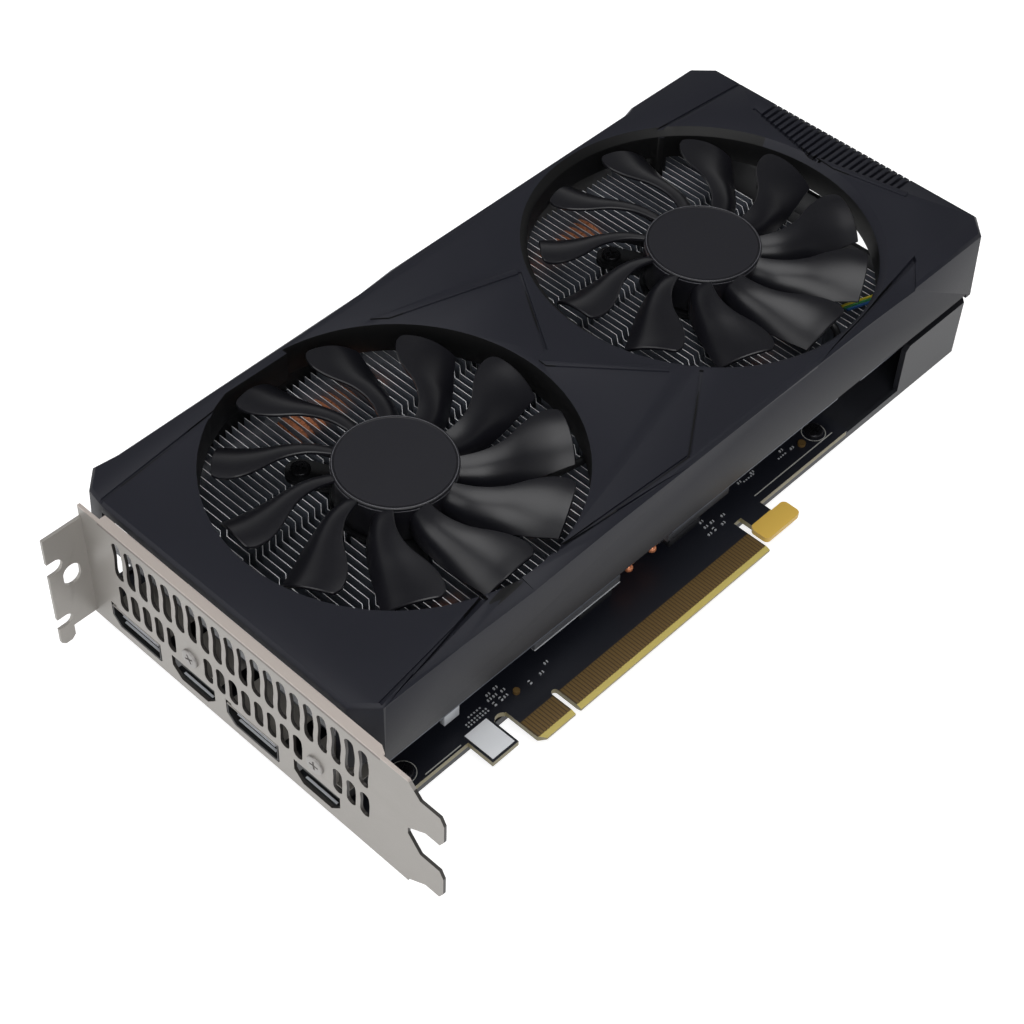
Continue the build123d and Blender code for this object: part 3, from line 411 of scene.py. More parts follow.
def finFinish():  # the cut upper edges get a painted highlight colour, brighter than the sides
    finish = Finish("fin_aluminium_bright_edges")
    up = finish.facing("Z")
    grain = finish.noise(0.6, 4.0)
    colour = finish.mottled(finned["sides"], 12.0)
    colour = finish.blend(up > finned["upright"], colour, paint(finned["edges"]))
    return finish.use(
        Base_Color=colour, Roughness=0.34 + grain * 0.12, Metallic=0.1, Normal=finish.bump(grain, 0.005)
    )


# the lip's lighter top is painted light; the fold band and the walls in the cuts are painted shade
folded = {
    "steel": ("#9c9893", "#a6a29d"),
    "lip": "#c2b8b1",
    "lipLeft": -60.6,
    "fold": "#857d79",
    "foldLevels": (35.3, 36.1),
    "foldSpan": (4.5, 99.0),
    "cuts": "#3b3836",
    "cutsDepth": (-60.45, -59.5),
    "cutsTop": 34.5,
}


def bracketFinish():  # fine grain along the sheet, painted light on the lip's top, a rougher band of painted shade under the lip and painted shade on the walls in the cuts
    look = folded
    finish = Finish("bracket_steel_folded")
    x, y, z = finish.axis("X"), finish.axis("Y"), finish.axis("Z")
    out = abs(finish.facing("X"))
    grain = finish.noise(0.4, 4.0, (1, 0.15, 1))
    colour = finish.mottled(look["steel"], 20.0)
    low, high = (boardTop + level * mm for level in look["foldLevels"])
    # painted light: the lip's upward top is lighter
    lip = (z > high) * (x > look["lipLeft"] * mm)
    colour = finish.blend(lip, colour, paint(look["lip"]))
    start, end = (place * mm for place in look["foldSpan"])
    # painted shade in a mottled band along the fold under the lip
    fold = z.within(low, high) * y.within(start, end)
    mottle = finish.noise(0.8, 3.0, (1, 0.3, 1))
    colour = finish.blend(fold * (0.5 + mottle * 0.8), colour, paint(look["fold"]))
    front, back = (place * mm for place in look["cutsDepth"])
    # painted shade on the walls inside the cuts
    cuts = (out < 0.5) * x.within(front, back) * (z < boardTop + look["cutsTop"] * mm)
    colour = finish.blend(cuts, colour, paint(look["cuts"]))
    rough = 0.42 + (grain - 0.5) * 0.12 + fold * 0.2
    return finish.use(Base_Color=colour, Roughness=rough, Metallic=0.3, Normal=finish.bump(grain, 0.003))


# painted shade for the mouth, and a painted lit colour for the top above the level
socketLook = {"mouth": ("#0d0d0f", "#151517"), "cover": "#9a9690", "level": 6.6}


def socketFinish():  # painted shade inside the mouth, painted light on top
    finish = Finish("socket_steel_dark_mouth")
    z = finish.axis("Z")
    grain = finish.noise(0.4, 4.0)
    colour = finish.mottled(socketLook["mouth"], by=grain)
    colour = finish.blend(z > boardTop + socketLook["level"] * mm, colour, paint(socketLook["cover"]))
    return finish.use(Base_Color=colour, Roughness=0.45, Metallic=0.2, Normal=finish.bump(grain, 0.005))


# the duct and floor colours are painted shade
moulded = {
    "colours": ("#191a23", "#1d1e27"),
    "duct": "#060607",
    "floor": "#060608",
    "ductReach": 50.9,
    "grooves": (34.0, 36.6),
    "shade": (15.0, 34.0, 0.45),  # a wall's low and high level, and its own colour's share at the low one, the rest painted shade
    "steep": 0.5,  # what faces up less than this is a wall
    "bevel": (0.9, 0.35),  # the same for a duct's bevel, and the slope that bounds its side of painted shade
    "flat": 0.995,
}


def shroudFinish():  # moulded plastic, with painted shade on the duct walls, in the grooves and low on the sides
    look = moulded
    finish = Finish("shroud_plastic_dark_grooves")
    x, y, z = finish.axis("X"), finish.axis("Y"), finish.axis("Z")
    up = finish.facing("Z")
    grain = finish.noise(0.35, 4.0)
    colour = finish.mottled(look["colours"], 14.0, 3.0)
    low, high, share = look["shade"]
    fade = finish.node("ShaderNodeMapRange", {}, {
        "Value": z, "From Min": boardTop + low * mm, "From Max": boardTop + high * mm,
        "To Min": 1 - share, "To Max": 0.0,
    })
    # painted shade, darker towards the walls' lower edge
    colour = finish.blend(fade * (abs(up) < look["steep"]), colour, paint(look["floor"]))
    tilt, slope = look["bevel"]
    # painted shade on the duct walls and on one side of each duct's bevel
    for centre in fanAxes.values():
        reachX, reachY = x - centre.x, y - centre.y
        inside = reachX * reachX + reachY * reachY < (look["ductReach"] * mm) ** 2
        bevel = (abs(up) < tilt) * (reachY > reachX * slope)
        dark = bevel + (abs(up) < look["steep"]) > 0.5
        colour = finish.blend(inside * dark, colour, paint(look["duct"]))
    # painted shade on the flat floors of the grooves
    low, high = (boardTop + level * mm for level in look["grooves"])
    colour = finish.blend((up > look["flat"]) * z.within(low, high), colour, paint(look["floor"]))
    return finish.use(
        Base_Color=colour, Roughness=0.46 + grain * 0.1, IOR=1.38, Normal=finish.bump(grain, 0.012)
    )


finishes["shroud_plastic"] = shroudFinish()
finishes["socket_steel"] = socketFinish()
finishes["board_laminate"] = boardFinish()
finishes["fin_aluminium"] = finFinish()
finishes["bracket_steel"] = bracketFinish()
finishes["white_ink"] = markFinish()
print("finishes made:", len(finishes))

nodeSlots = {part["node"]: part["material_slot"] for part in frame["record"]["subparts"]}


# Fan shroud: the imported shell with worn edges, and sloping facets and grooves over its front wall

shroudLook = {
    "top": 37.0,
    "edge": 0.28,
    "facets": (  # corners along the front wall: x, y and depth
        ((-51.5, 12.6, 0.15), (-3.0, 20.9, 0.15), (-3.0, 12.6, 1.7)),
        ((-3.0, 18.4, 0.15), (54.0, 12.6, 0.15), (-3.0, 12.6, 1.7)),
        ((103.0, 12.6, 0.15), (151.6, 20.0, 0.15), (141.9, 12.6, 1.8)),
    ),
    "wedges": (  # corners of the tapering grooves above them, dark from painted shade on their floors
        ((-50.5, 13.3), (-13.0, 18.5), (-13.0, 20.4)),
        ((52.5, 13.3), (8.0, 18.3), (8.0, 17.2)),
        ((101.0, 13.3), (151.2, 19.2), (152.6, 21.0)),
    ),
    "wedgeDepth": 1.5,
    "trim": ((-60.0, 9.0, 14.0), (171.0, 16.6, 17.1)),  # what is cut from the front wall's lower edge
}


def shroudShell():
    look = shroudLook
    shell = copyOf("fan_shroud", "shroudShell")
    upward = Vector((0, 0, through * mm))
    for corners in look["facets"]:
        carve(shell, addPlate("facet", [at(x, y, look["top"] - depth) for x, y, depth in corners], upward))
    for corners in look["wedges"]:
        floor = [at(x, y, look["top"] - look["wedgeDepth"]) for x, y in corners]
        carve(shell, addPlate("wedge", floor, upward))
    carve(shell, addBlock("trim", *look["trim"]))
    soften(shell, look["edge"], 2, 32)
    done(shell, "card", "shroud_plastic", ["fan_shroud"])


shroudShell()
print("shroud dressed")


# Fan wheels: a hub with a rim and a shallow groove round its disc, and eleven swept blades

wheelLook = {
    "hub": 15.7,
    "low": 25.0,
    "high": 36.0,
    "wall": 1.5,
    "hollow": 8.2,
    "rim": 0.45,
    "land": 0.7,
    "groove": 0.35,
    "grooveDepth": 0.4,
    "lines": ((15.28, 35.9, 0.13), (15.66, 35.1, 0.1)),  # radius, height and half thickness of the pale rims, painted highlights
}
bladeLook = {
    "count": 11,
    "thickness": 1.05,
    "camber": 1.9,
    "round": 1.9,  # radius of the leading corner at the tip
    "grid": (26, 20),
    "crowd": 0.85,  # below 1 the rows stand closer towards the leading edge
    "edge": 0.22,
    "tips": {"near_fan": -53.2, "far_fan": -49.2},  # where the leading tip corner of the first blade stands
    "sections": (  # radius, then angle and height of the leading and of the trailing edge
        (14.9, -17.0, 35.5, -34.8, 28.9),
        (21.0, -15.0, 35.9, -33.3, 29.3),
        (27.0, -9.6, 36.0, -29.0, 29.5),
        (33.0, -2.4, 36.0, -24.8, 29.7),
        (38.5, 0.6, 36.0, -21.6, 30.1),
        (43.9, 0.0, 35.9, -19.5, 30.8),
    ),
}


def between(rows, value):  # smooth reading of a table by its first column
    last = len(rows) - 1
    step = min(max(sum(row[0] <= value for row in rows) - 1, 0), last - 1)
    before, start, end, after = (rows[min(max(step + shift, 0), last)] for shift in (-1, 0, 1, 2))
    part = (value - start[0]) / (end[0] - start[0])
    found = []
    for a, b, c, d in zip(before[1:], start[1:], end[1:], after[1:]):
        bend = 2 * a - 5 * b + 4 * c - d
        found.append(b + 0.5 * part * (c - a + part * (bend + part * (3 * (b - c) + d - a))))
    return found


def bladePoint(along, across):  # from the hub to the tip, and from the trailing to the leading edge
    look = bladeLook
    root, tip = look["sections"][0][0], look["sections"][-1][0]
    leadAngle, _, trailAngle, _ = look["sections"][-1][1:]
    gap = (1 - across) * tip * math.radians(leadAngle - trailAngle)
    inside = max(0.0, look["round"] - gap)
    tip -= look["round"] - math.sqrt(look["round"] ** 2 - inside ** 2)
    radius = root + (tip - root) * along
    leadAngle, leadHeight, trailAngle, trailHeight = between(look["sections"], radius)
    width = radius * math.radians(leadAngle - trailAngle)
    rise = leadHeight - trailHeight
    crown = look["camber"] * 4 * across * (1 - across) / math.hypot(width, rise)
    angle = math.radians(trailAngle + (leadAngle - trailAngle) * across) - crown * rise / radius
    height = trailHeight + rise * across + crown * width
    return Vector((radius * math.cos(angle) * mm, radius * math.sin(angle) * mm, height * mm + boardTop))


def oneBlade():
    clearSelection()
    rows, columns = bladeLook["grid"]
    bpy.ops.mesh.primitive_grid_add(x_subdivisions=rows, y_subdivisions=columns, size=1)
    blade = bpy.context.object
    blade.name = "blade"
    for vertex in blade.data.vertices:
        vertex.co = bladePoint(vertex.co.x + 0.5, (vertex.co.y + 0.5) ** bladeLook["crowd"])
    editAll(blade)
    bpy.ops.mesh.normals_make_consistent(inside=False)
    bpy.ops.object.mode_set(mode="OBJECT")
    modify(blade, "SOLIDIFY", thickness=bladeLook["thickness"] * mm, offset=0, use_even_offset=True)
    soften(blade, bladeLook["edge"], 1, 50)
    return blade


def hub():
    look = wheelLook
    low, high = look["low"], look["high"]
    shell = addRod("hub", (0, 0, (low + high) / 2), look["hub"], high - low, 96)
    top, bottom = at(0, 0, high).z, at(0, 0, low).z
    editAll(shell)
    pickFaces(shell, lambda face: face.center.z > top - hair)
    bpy.ops.mesh.inset(thickness=look["land"] * mm)
    bpy.ops.mesh.inset(thickness=look["groove"] * mm)
    bpy.ops.mesh.extrude_region_move(TRANSFORM_OT_translate={"value": (0, 0, -look["grooveDepth"] * mm)})
    pickFaces(shell, lambda face: face.center.z < bottom + hair)
    bpy.ops.mesh.inset(thickness=look["wall"] * mm)
    bpy.ops.mesh.extrude_region_move(TRANSFORM_OT_translate={"value": (0, 0, look["hollow"] * mm)})
    bpy.ops.object.mode_set(mode="OBJECT")
    soften(shell, look["rim"], 3)
    return shell


def rims():  # thin pale lines round the hub's edge: painted highlights
    rings = [addRing("ring", (0, 0, z), radius, half, (96, 8)) for radius, z, half in wheelLook["lines"]]
    return joined(rings, "rims")


def wheel(body, blade, boss):
    parts = [twin(boss, Matrix.Identity(4))]
    for step in range(bladeLook["count"]):
        angle = math.radians(bladeLook["tips"][body] + step * 360 / bladeLook["count"])
        parts.append(twin(blade, Matrix.Rotation(angle, 4, "Z")))
    whole = joined(parts, body + "Wheel")
    centre = fanAxes[body]
    whole.data.transform(Matrix.Translation((centre.x, centre.y, 0)))
    node = body.replace("_fan", "_rotor")
    done(whole, body, "blade_plastic", [node], smooth=40)


blade, boss, rim = oneBlade(), hub(), rims()
for body in bladeLook["tips"]:
    wheel(body, blade, boss)
    lines = twin(rim, Matrix.Translation((fanAxes[body].x, fanAxes[body].y, 0)))
    lines.name = body + "Rims"
    done(lines, body, "blade_plastic", finish="rim_plastic")
for pattern in (blade, boss, rim):
    bpy.data.objects.remove(pattern)
print("fan wheels made")


# Bracket: a folded sheet with wavy vents, port mouths and a slotted tab

bracketLook = {
    "face": -60.5,
    "sheet": 0.86,
    "low": -2.2,
    "high": 36.54,
    "end": 106.19,
    "root": -3.8,
    "tip": -14.69,
    "tongues": (7.0, 27.32),
    "tongueWidth": 10.19,
    "shoulder": (3.4, 5.4),  # how far a tongue's lower side slopes up and out
    "flare": (3.8, 4.6),  # the same for its upper side
    "tipCorner": (1.2, 2.2),
    "reach": 11.43,
    "tabHigh": 33.0,
    "tabLow": -0.9,
    "finger": -5.37,
    "fingerCorner": 1.2,
    "lip": (4.5, 99.0),
    "lipWidth": 1.7,
    "lipCorner": (0.6, 2.0),
    "edge": 0.1,
    "vents": 20,
    "firstVent": 92.8,
    "ventPitch": 4.37,
    "ventWidth": 2.95,
    "upperVents": (20.3, 33.2, 0.22),  # low end, high end and waviness
    "lowerVents": (9.2, 17.7, 0.08),
    "waves": 1.25,
    "hole": (5.1, 16.57, 6.7, 5.0),
    "notches": ((22.47, 4.4), (2.6, 3.6)),
    "notchDepth": 4.3,
}
portLook = {
    "wide": {"places": (89.45, 47.7), "half": 9.1, "corners": (0.6, 2.6), "step": (2.0, 0.8)},
    "narrow": {"places": (68.5, 25.75), "half": 7.7, "corners": (3.0, 3.0), "step": (0.0, 0.0)},
    "low": 0.3,
    "high": 7.2,
    "screwLevel": 12.8,
    "screwHole": 1.6,
}


def slotShape(low, high, width, wave=0.0, steps=14):  # right side going up, left side coming down
    radius = width / 2
    right, left = [], []
    for step in range(steps + 1):
        share = 0.5 - 0.5 * math.cos(math.pi * step / steps)
        level = low + (high - low) * share
        end = min(level - low, high - level)
        half = math.sqrt(max(radius ** 2 - max(radius - end, 0.0) ** 2, 0.0))
        shift = wave * math.sin(2 * math.pi * bracketLook["waves"] * share) * min(1.0, end / radius)
        right.append((shift + half, level))
        left.append((shift - half, level))
    return right[:-1] + left[:0:-1]


def bracketPlate():
    look = bracketLook
    face, sheet, top = look["face"], look["sheet"], look["high"]
    root, tip = look["root"], look["tip"]
    inner = face + sheet
    outline = [(look["end"], look["low"]), (root, look["low"])]
    for middle in look["tongues"]:
        low, high = middle - look["tongueWidth"] / 2, middle + look["tongueWidth"] / 2
        (drop, slope), (run, rise), (back, side) = look["shoulder"], look["flare"], look["tipCorner"]
        outline += [
            (root, low - drop), (root - slope, low), (tip + back, low), (tip, low + side),
            (tip, high - side), (tip + back, high), (root - run, high), (root, min(high + rise, top)),
        ]
    outline.append((look["end"], top))
    plate = addPlate("bracket", [at(face, y, z) for y, z in outline], Vector((sheet * mm, 0, 0)))
    edge = face - look["reach"]
    slotEnd = edge + look["notchDepth"]
    low, finger, corner = look["tabLow"], look["finger"], look["fingerCorner"]
    tabOutline = [
        (inner, low), (slotEnd, low), (slotEnd, finger + corner), (slotEnd - corner, finger),
        (edge + corner, finger), (edge, finger + corner), (edge, look["tabHigh"]), (inner, look["tabHigh"]),
    ]
    tabOutline = [at(x, look["end"] - sheet, z) for x, z in tabOutline]
    tab = addPlate("tab", tabOutline, Vector((0, sheet * mm, 0)))
    start, end = look["lip"]
    corner, taper = look["lipCorner"]
    lipOutline = [(face, start), (face, end), (inner + look["lipWidth"], end)]
    lipOutline += [(inner + look["lipWidth"], start + taper), (inner + corner, start)]
    lip = addPlate("lip", [at(x, y, top - sheet) for x, y in lipOutline], Vector((0, 0, sheet * mm)))
    for extra in (tab, lip):
        modify(plate, "BOOLEAN", object=extra, operation="UNION", solver="EXACT")
        bpy.data.objects.remove(extra)
    return plate


def throughFace(outline):  # a cutter through the bracket's face
    start = bracketLook["face"] - margin
    return addPlate("cutter", [at(start, y, z) for y, z in outline], Vector((through * mm, 0, 0)))


def throughTab(outline):
    start = bracketLook["end"] - bracketLook["sheet"] - margin
    return addPlate("cutter", [at(x, start, z) for x, z in outline], Vector((0, through * mm, 0)))


def ventCutters():
    look = bracketLook
    screwPlaces = portLook["narrow"]["places"]
    made = []
    for low, high, wave in (look["upperVents"], look["lowerVents"]):
        for step in range(look["vents"]):
            place = look["firstVent"] - step * look["ventPitch"]
            nearScrew = any(abs(place - screw) < look["ventPitch"] for screw in screwPlaces)
            if nearScrew and low == look["lowerVents"][0]:
                continue
            shape = slotShape(low, high, look["ventWidth"], wave)
            made.append(throughFace([(place + y, z) for y, z in shape]))
    return made


def portCutters():
    low, high = portLook["low"], portLook["high"]
    made = []
    for kind in ("wide", "narrow"):
        port = portLook[kind]
        front, back = port["corners"]
        length, rise = port["step"]
        for place in port["places"]:
            left, right = place - port["half"], place + port["half"]
            outline = [(left + front, low), (right - back, low), (right, low + back)]
            if length:
                outline += [(right, high + rise), (right - length, high + rise), (right - length, high)]
            else:
                outline.append((right, high))
            outline += [(left, high), (left, low + front)]
            made.append(throughFace(outline))
    for place in portLook["narrow"]["places"]:
        level, radius = portLook["screwLevel"], portLook["screwHole"]
        shape = slotShape(level - radius, level + radius, 2 * radius)
        made.append(throughFace([(place + y, z) for y, z in shape]))
    return made


def tabCutters():
    look = bracketLook
    reach, level, length, width = look["hole"]
    shape = slotShape(level - length / 2, level + length / 2, width)
    made = [throughTab([(look["face"] - reach + x, z) for x, z in shape])]
    edge = look["face"] - look["reach"]
    for level, width in look["notches"]:
        shape = slotShape(edge - look["notchDepth"], edge + look["notchDepth"], width)
        made.append(throughTab([(x, level + z) for z, x in shape]))
    return made


def bracket():
    plate = bracketPlate()
    carve(plate, joined(ventCutters() + portCutters(), "cutters"))
    carve(plate, joined(tabCutters(), "cutters"))
    soften(plate, bracketLook["edge"])
    done(plate, "card", "bracket_steel", ["io_bracket"], smooth=15)


bracket()
print("bracket made")


# Screws: one cross-slotted head, copied to every place

screwLook = {
    "radius": 2.6,
    "rise": 1.1,
    "edge": 0.4,
    "shank": 1.5,
    "cross": (2.9, 0.55, 0.6),  # length, width and depth of the cross
    "turns": (25, 70),  # how the first cross is turned, and each next one more
    "flat": 0.6,  # how much flatter the bracket's heads are
    "lengths": {"board": 4.5, "bracket": 3.2, "fan": 7.0, "cooler": 8.5},
    "board": ((-42.0, 16.8), (113.5, 18.0), (-42.0, 103.0), (84.0, 103.0)),
    "earReach": 24.8,
    "earAngle": 116.0,
    "earThick": 1.6,
}


def screwHead():
    look = screwLook
    head = addRod("screw", (0, 0, look["rise"] / 2), look["radius"], look["rise"], 40)
    top = at(0, 0, look["rise"]).z
    editAll(head)
    pickFaces(head, lambda face: face.center.z > top - hair)
    bpy.ops.mesh.bevel(offset=look["edge"] * mm, segments=3, affect="EDGES")
    bpy.ops.object.mode_set(mode="OBJECT")
    length, width, depth = look["cross"]
    for along, across in ((length, width), (width, length)):
        low = (-along / 2, -across / 2, look["rise"] - depth)
        carve(head, addBlock("cross", low, (along / 2, across / 2, look["rise"] + 1)))
    sink(head)
    return head


def screws(kind, head, places, axis, finish=None):  # places are the heads' undersides
    turn = Vector((0, 0, 1)).rotation_difference(Vector(axis)).to_matrix().to_4x4()
    first, more = screwLook["turns"]
    shank = screwLook["lengths"][kind]
    parts = []
    for step, place in enumerate(places):
        spin = Matrix.Rotation(math.radians(first + more * step), 4, "Z")
        spot = Matrix.Translation(place)
        parts.append(twin(head, spot @ turn @ spin))
        rod = addRod("shank", (0, 0, -shank / 2), screwLook["shank"], shank, 24)
        sink(rod)
        rod.data.transform(spot @ turn)
        parts.append(rod)
    whole = joined(parts, kind + "Screws")
    done(whole, "card", "screw_steel", [kind + "_screws"], finish)


def earPlaces():
    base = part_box("near_motor_base")[0].z + screwLook["earThick"] * mm
    reach = screwLook["earReach"] * mm
    places = []
    for centre in fanAxes.values():
        for step in range(3):
            angle = math.radians(screwLook["earAngle"] + 120 * step)
            x, y = centre.x + reach * math.cos(angle), centre.y + reach * math.sin(angle)
            places.append(Vector((x, y, base)))
    return places


def coolerPlaces():
    low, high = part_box("cooler_screws")
    inward = screwLook["radius"] * mm
    columns = (low.x + inward, high.x - inward)
    rows = (low.y + inward, high.y - inward)
    return [Vector((x, y, -boardTop)) for x in columns for y in rows]


head = screwHead()
screws("board", head, [at(x, y, 0) for x, y in screwLook["board"]], (0, 0, 1), "dark_steel")
flatHead = twin(head, Matrix.Scale(screwLook["flat"], 4, (0, 0, 1)))
bracketPlaces = [at(bracketLook["face"], y, portLook["screwLevel"]) for y in portLook["narrow"]["places"]]
screws("bracket", flatHead, bracketPlaces, (-1, 0, 0))
screws("fan", head, earPlaces(), (0, 0, 1), "dark_steel")
screws("cooler", head, coolerPlaces(), (0, 0, -1))
for pattern in (flatHead, head):
    bpy.data.objects.remove(pattern)
print("screws made")


# Cooler: thin fins that step over in rows, pipes that lie close under their tops, and the side plates

finLook = {
    "count": 95,
    "left": -43.2,
    "right": 154.6,
    "pitch": 2.1,
    "sheet": 0.21,
    "front": 17.0,
    "back": 112.4,
    "low": 8.6,
    "high": 22.5,
    "floor": (-50.0, 8.0),  # left end and underside of the sheet that carries them
    "rows": (45.0, 64.5, 75.0, 85.5),  # in each row a sheet steps over by one pitch
    "rowLength": 2.4,
    "rooms": (  # lowest and highest corners of what is cut out of the sheets
        ((97.5, 97.5, 8.0), (118.5, 114.0, 12.6)),
        ((121.0, 16.0, 8.0), (131.0, 29.0, 24.0)),
        ((33.0, 16.0, 8.0), (53.0, 23.0, 14.0)),
        ((26.5, 99.0, 8.0), (60.0, 114.0, 14.0)),
    ),
    "beyond": (170.0, 114.0, 24.0),  # far corner of what is cut off past the right end
}


def finOutline():
    look = finLook
    path = [(0.0, look["front"])]
    for step, row in enumerate(look["rows"]):
        path.append((step * look["pitch"], row - look["rowLength"] / 2))
        path.append(((step + 1) * look["pitch"], row + look["rowLength"] / 2))
    path.append((path[-1][0], look["back"]))
    return path + [(x + look["sheet"], y) for x, y in reversed(path)]


def finStack():
    look = finLook
    outline = [at(x + look["left"], y, look["low"]) for x, y in finOutline()]
    fin = addPlate("fin", outline, Vector((0, 0, (look["high"] - look["low"]) * mm)))
    sheets = [fin]
    for step in range(1, look["count"]):
        sheets.append(twin(fin, Matrix.Translation((step * look["pitch"] * mm, 0, 0))))
    whole = joined(sheets, "finStack")
    rooms = [addBlock("room", low, high) for low, high in look["rooms"]]
    rooms.append(addBlock("room", (look["right"], look["front"] - 1, look["low"] - 1), look["beyond"]))
    for room in rooms:
        carve(whole, room)
    left, under = look["floor"]
    floor = addBlock("floor", (left, look["front"], under), (look["right"], look["back"], look["low"]))
    for low, high in look["rooms"]:
        carve(floor, addBlock("room", (*low[:2], under - 1), (*high[:2], under + 1)))
    whole = joined([whole, floor], "finStack")
    done(whole, "card", "fin_aluminium", ["fin_stack"], smooth=20)


pipeLook = {
    "levels": (9.0, 15.0),  # between them a pipe goes over into its changed upper run
    "level": 17.0,
    "bends": ((38.5, 18.7, 5.1), (47.3, 18.7, 5.3)),
    "bend": 1.2,
    "dip": 3.5,  # how much lower the upper run starts
    "bow": (1.6, 4.0),  # how far the front bends stand out below the shroud, and how far back that reaches
    "front": {
        "lift": 1.0, "shift": 13.5, "row": 21.0, "wide": 0.9, "flat": 1.0, "ends": (-44.0, 118.0),
        "climbs": {"left": (16.0, 26.0), "right": (34.0, 46.0)},
    },
    "back": {
        "lift": 2.7, "shift": 0.5, "row": 101.0, "wide": 1.9, "flat": 0.85, "ends": (1.0, 115.0),
        "climbs": {"left": (3.0, 5.0), "right": (18.0, 28.0)},
    },
}


def portion(value, low, high):  # 0 at low, 1 at high, and held there beyond them
    return min(max((value - low) / (high - low), 0.0), 1.0)


def raisedPipe(node):  # its upper run lies close under the fins' tops, and a rear one is pressed wide there
    piece = copyOf(node, node.replace("_heat_pipe", "Pipe").replace("_", ""))
    front, right = node.startswith("front"), "right" in node
    look = pipeLook["front" if front else "back"]
    start, end = (at(0, 0, level).z for level in pipeLook["levels"])
    level, row = at(0, 0, pipeLook["level"]).z, look["row"] * mm
    low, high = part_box(node)
    bend, tip = (low.x, high.x) if right else (high.x, low.x)
    reach = (look["ends"][right] * mm - bend) / (tip - bend)
    near, far = look["climbs"]["right" if right else "left"]
    out, depth = pipeLook["bow"]
    for vertex in piece.data.vertices:
        spot = vertex.co.copy()
        share = portion(spot.z, start, end)
        x = bend + (spot.x - bend) * reach
        dip = pipeLook["dip"] * portion(abs(x - bend) / mm, far, near)
        y = row + (spot.y - row) * look["wide"] + look["shift"] * mm
        z = level + (spot.z - level) * look["flat"] + (look["lift"] - dip) * mm
        if front:
            spot.y -= out * mm * (1 - share) * (spot.y < (look["row"] + depth) * mm)
        vertex.co = spot.lerp(Vector((x, y, z)), share)
    done(piece, "card", nodeSlots[node], [node])


sidePlateLook = {
    "front": 17.0,
    "depth": 2.5,  # how far the cuts reach back
    "levels": (2.8, 5.7, 9.0),  # below the plates, their lower edge, and above them
    "ends": (-2, 80),
    "gaps": ((-2.0, 2.3), (33.3, 51.4), (75.4, 80.0)),  # where the plates stand back
    "span": (2.3, 33.3),  # the bright lower edge, a painted highlight
    "edge": (0.2, 1.0, 0.3),  # how far it stands out and goes in, and its height
    "block": ((-28.0, 17.2, 3.8), (-23.0, 18.8, 8.0)),  # a small tab under the fins, nearer the bracket
}


def sidePlates():
    look = sidePlateLook
    front = look["front"]
    under, low, over = look["levels"]
    plates = copyOf("cooler_side_plates", "sidePlates")
    left, right = look["ends"]
    cuts = [(left, right, low)] + [(start, end, over) for start, end in look["gaps"]]
    for start, end, level in cuts:
        carve(plates, addBlock("cutter", (start, front - 1, under), (end, front + look["depth"], level)))
    # the plates take the darker plate finish: painted shade
    done(plates, "card", "plate_aluminium", ["cooler_side_plates"], "plate_dark")
    out, into, height = look["edge"]
    left, right = look["span"]
    # a bright strip along the lower edge: painted highlight
    edge = addBlock("sidePlateEdge", (left, front - out, low - height), (right, front + into, low))
    soften(edge, 0.08)
    done(edge, "card", "plate_aluminium", finish="tinned_metal")
    block = addBlock("smallPlate", *look["block"])
    soften(block, 0.2, 2)
    done(block, "card", "plate_aluminium", finish="tinned_metal")


def pipeBends():  # the lowest of the front bends, seen below the shroud
    ball, radius = bpy.ops.mesh.primitive_uv_sphere_add, pipeLook["bend"] * mm
    bends = []
    for place in pipeLook["bends"]:
        bends.append(added("bend", ball, segments=24, ring_count=16, radius=radius, location=at(*place)))
    whole = joined(bends, "pipeBends")
    done(whole, "card", "copper")


finStack()
pipeBends()
for node in frame["nodes"]:
    if node.endswith("_heat_pipe"):
        raisedPipe(node)
sidePlates()
print("cooler dressed")


# Backplate: the end wall is closed but for a narrow exit, and turns the rear corner

capLook = {
    "outer": 177.4,
    "wall": 1.6,
    "low": -5.4,
    "cornerHigh": 14.6,
    "closure": (  # first and last y, low and high level of the parts that close the end wall
        (39.5, 44.5, 6.6, 13.2), (55.0, 88.0, 6.6, 15.5), (88.0, 89.5, 6.6, 14.6),
        (89.5, 101.0, 13.0, 14.6),
    ),
    "corner": ((177.4, 101.0), (177.4, 106.5), (171.9, 112.0), (145.3, 112.0)),
    "inner": ((145.3, 110.4), (171.24, 110.4), (175.8, 105.84), (175.8, 101.0)),
}


def capWalls():
    look = capLook
    outline = [at(x, y, look["low"]) for x, y in look["corner"] + look["inner"]]
    parts = [addPlate("wall", outline, Vector((0, 0, (look["cornerHigh"] - look["low"]) * mm)))]
    for start, end, low, high in look["closure"]:
        parts.append(addBlock("wall", (look["outer"] - look["wall"], start, low), (look["outer"], end, high)))
    whole = joined(parts, "capWalls")
    soften(whole, 0.2, 2)
    done(whole, "card", "backplate_paint")


capWalls()
print("backplate dressed")


# Small parts and white marks along the board's front edge

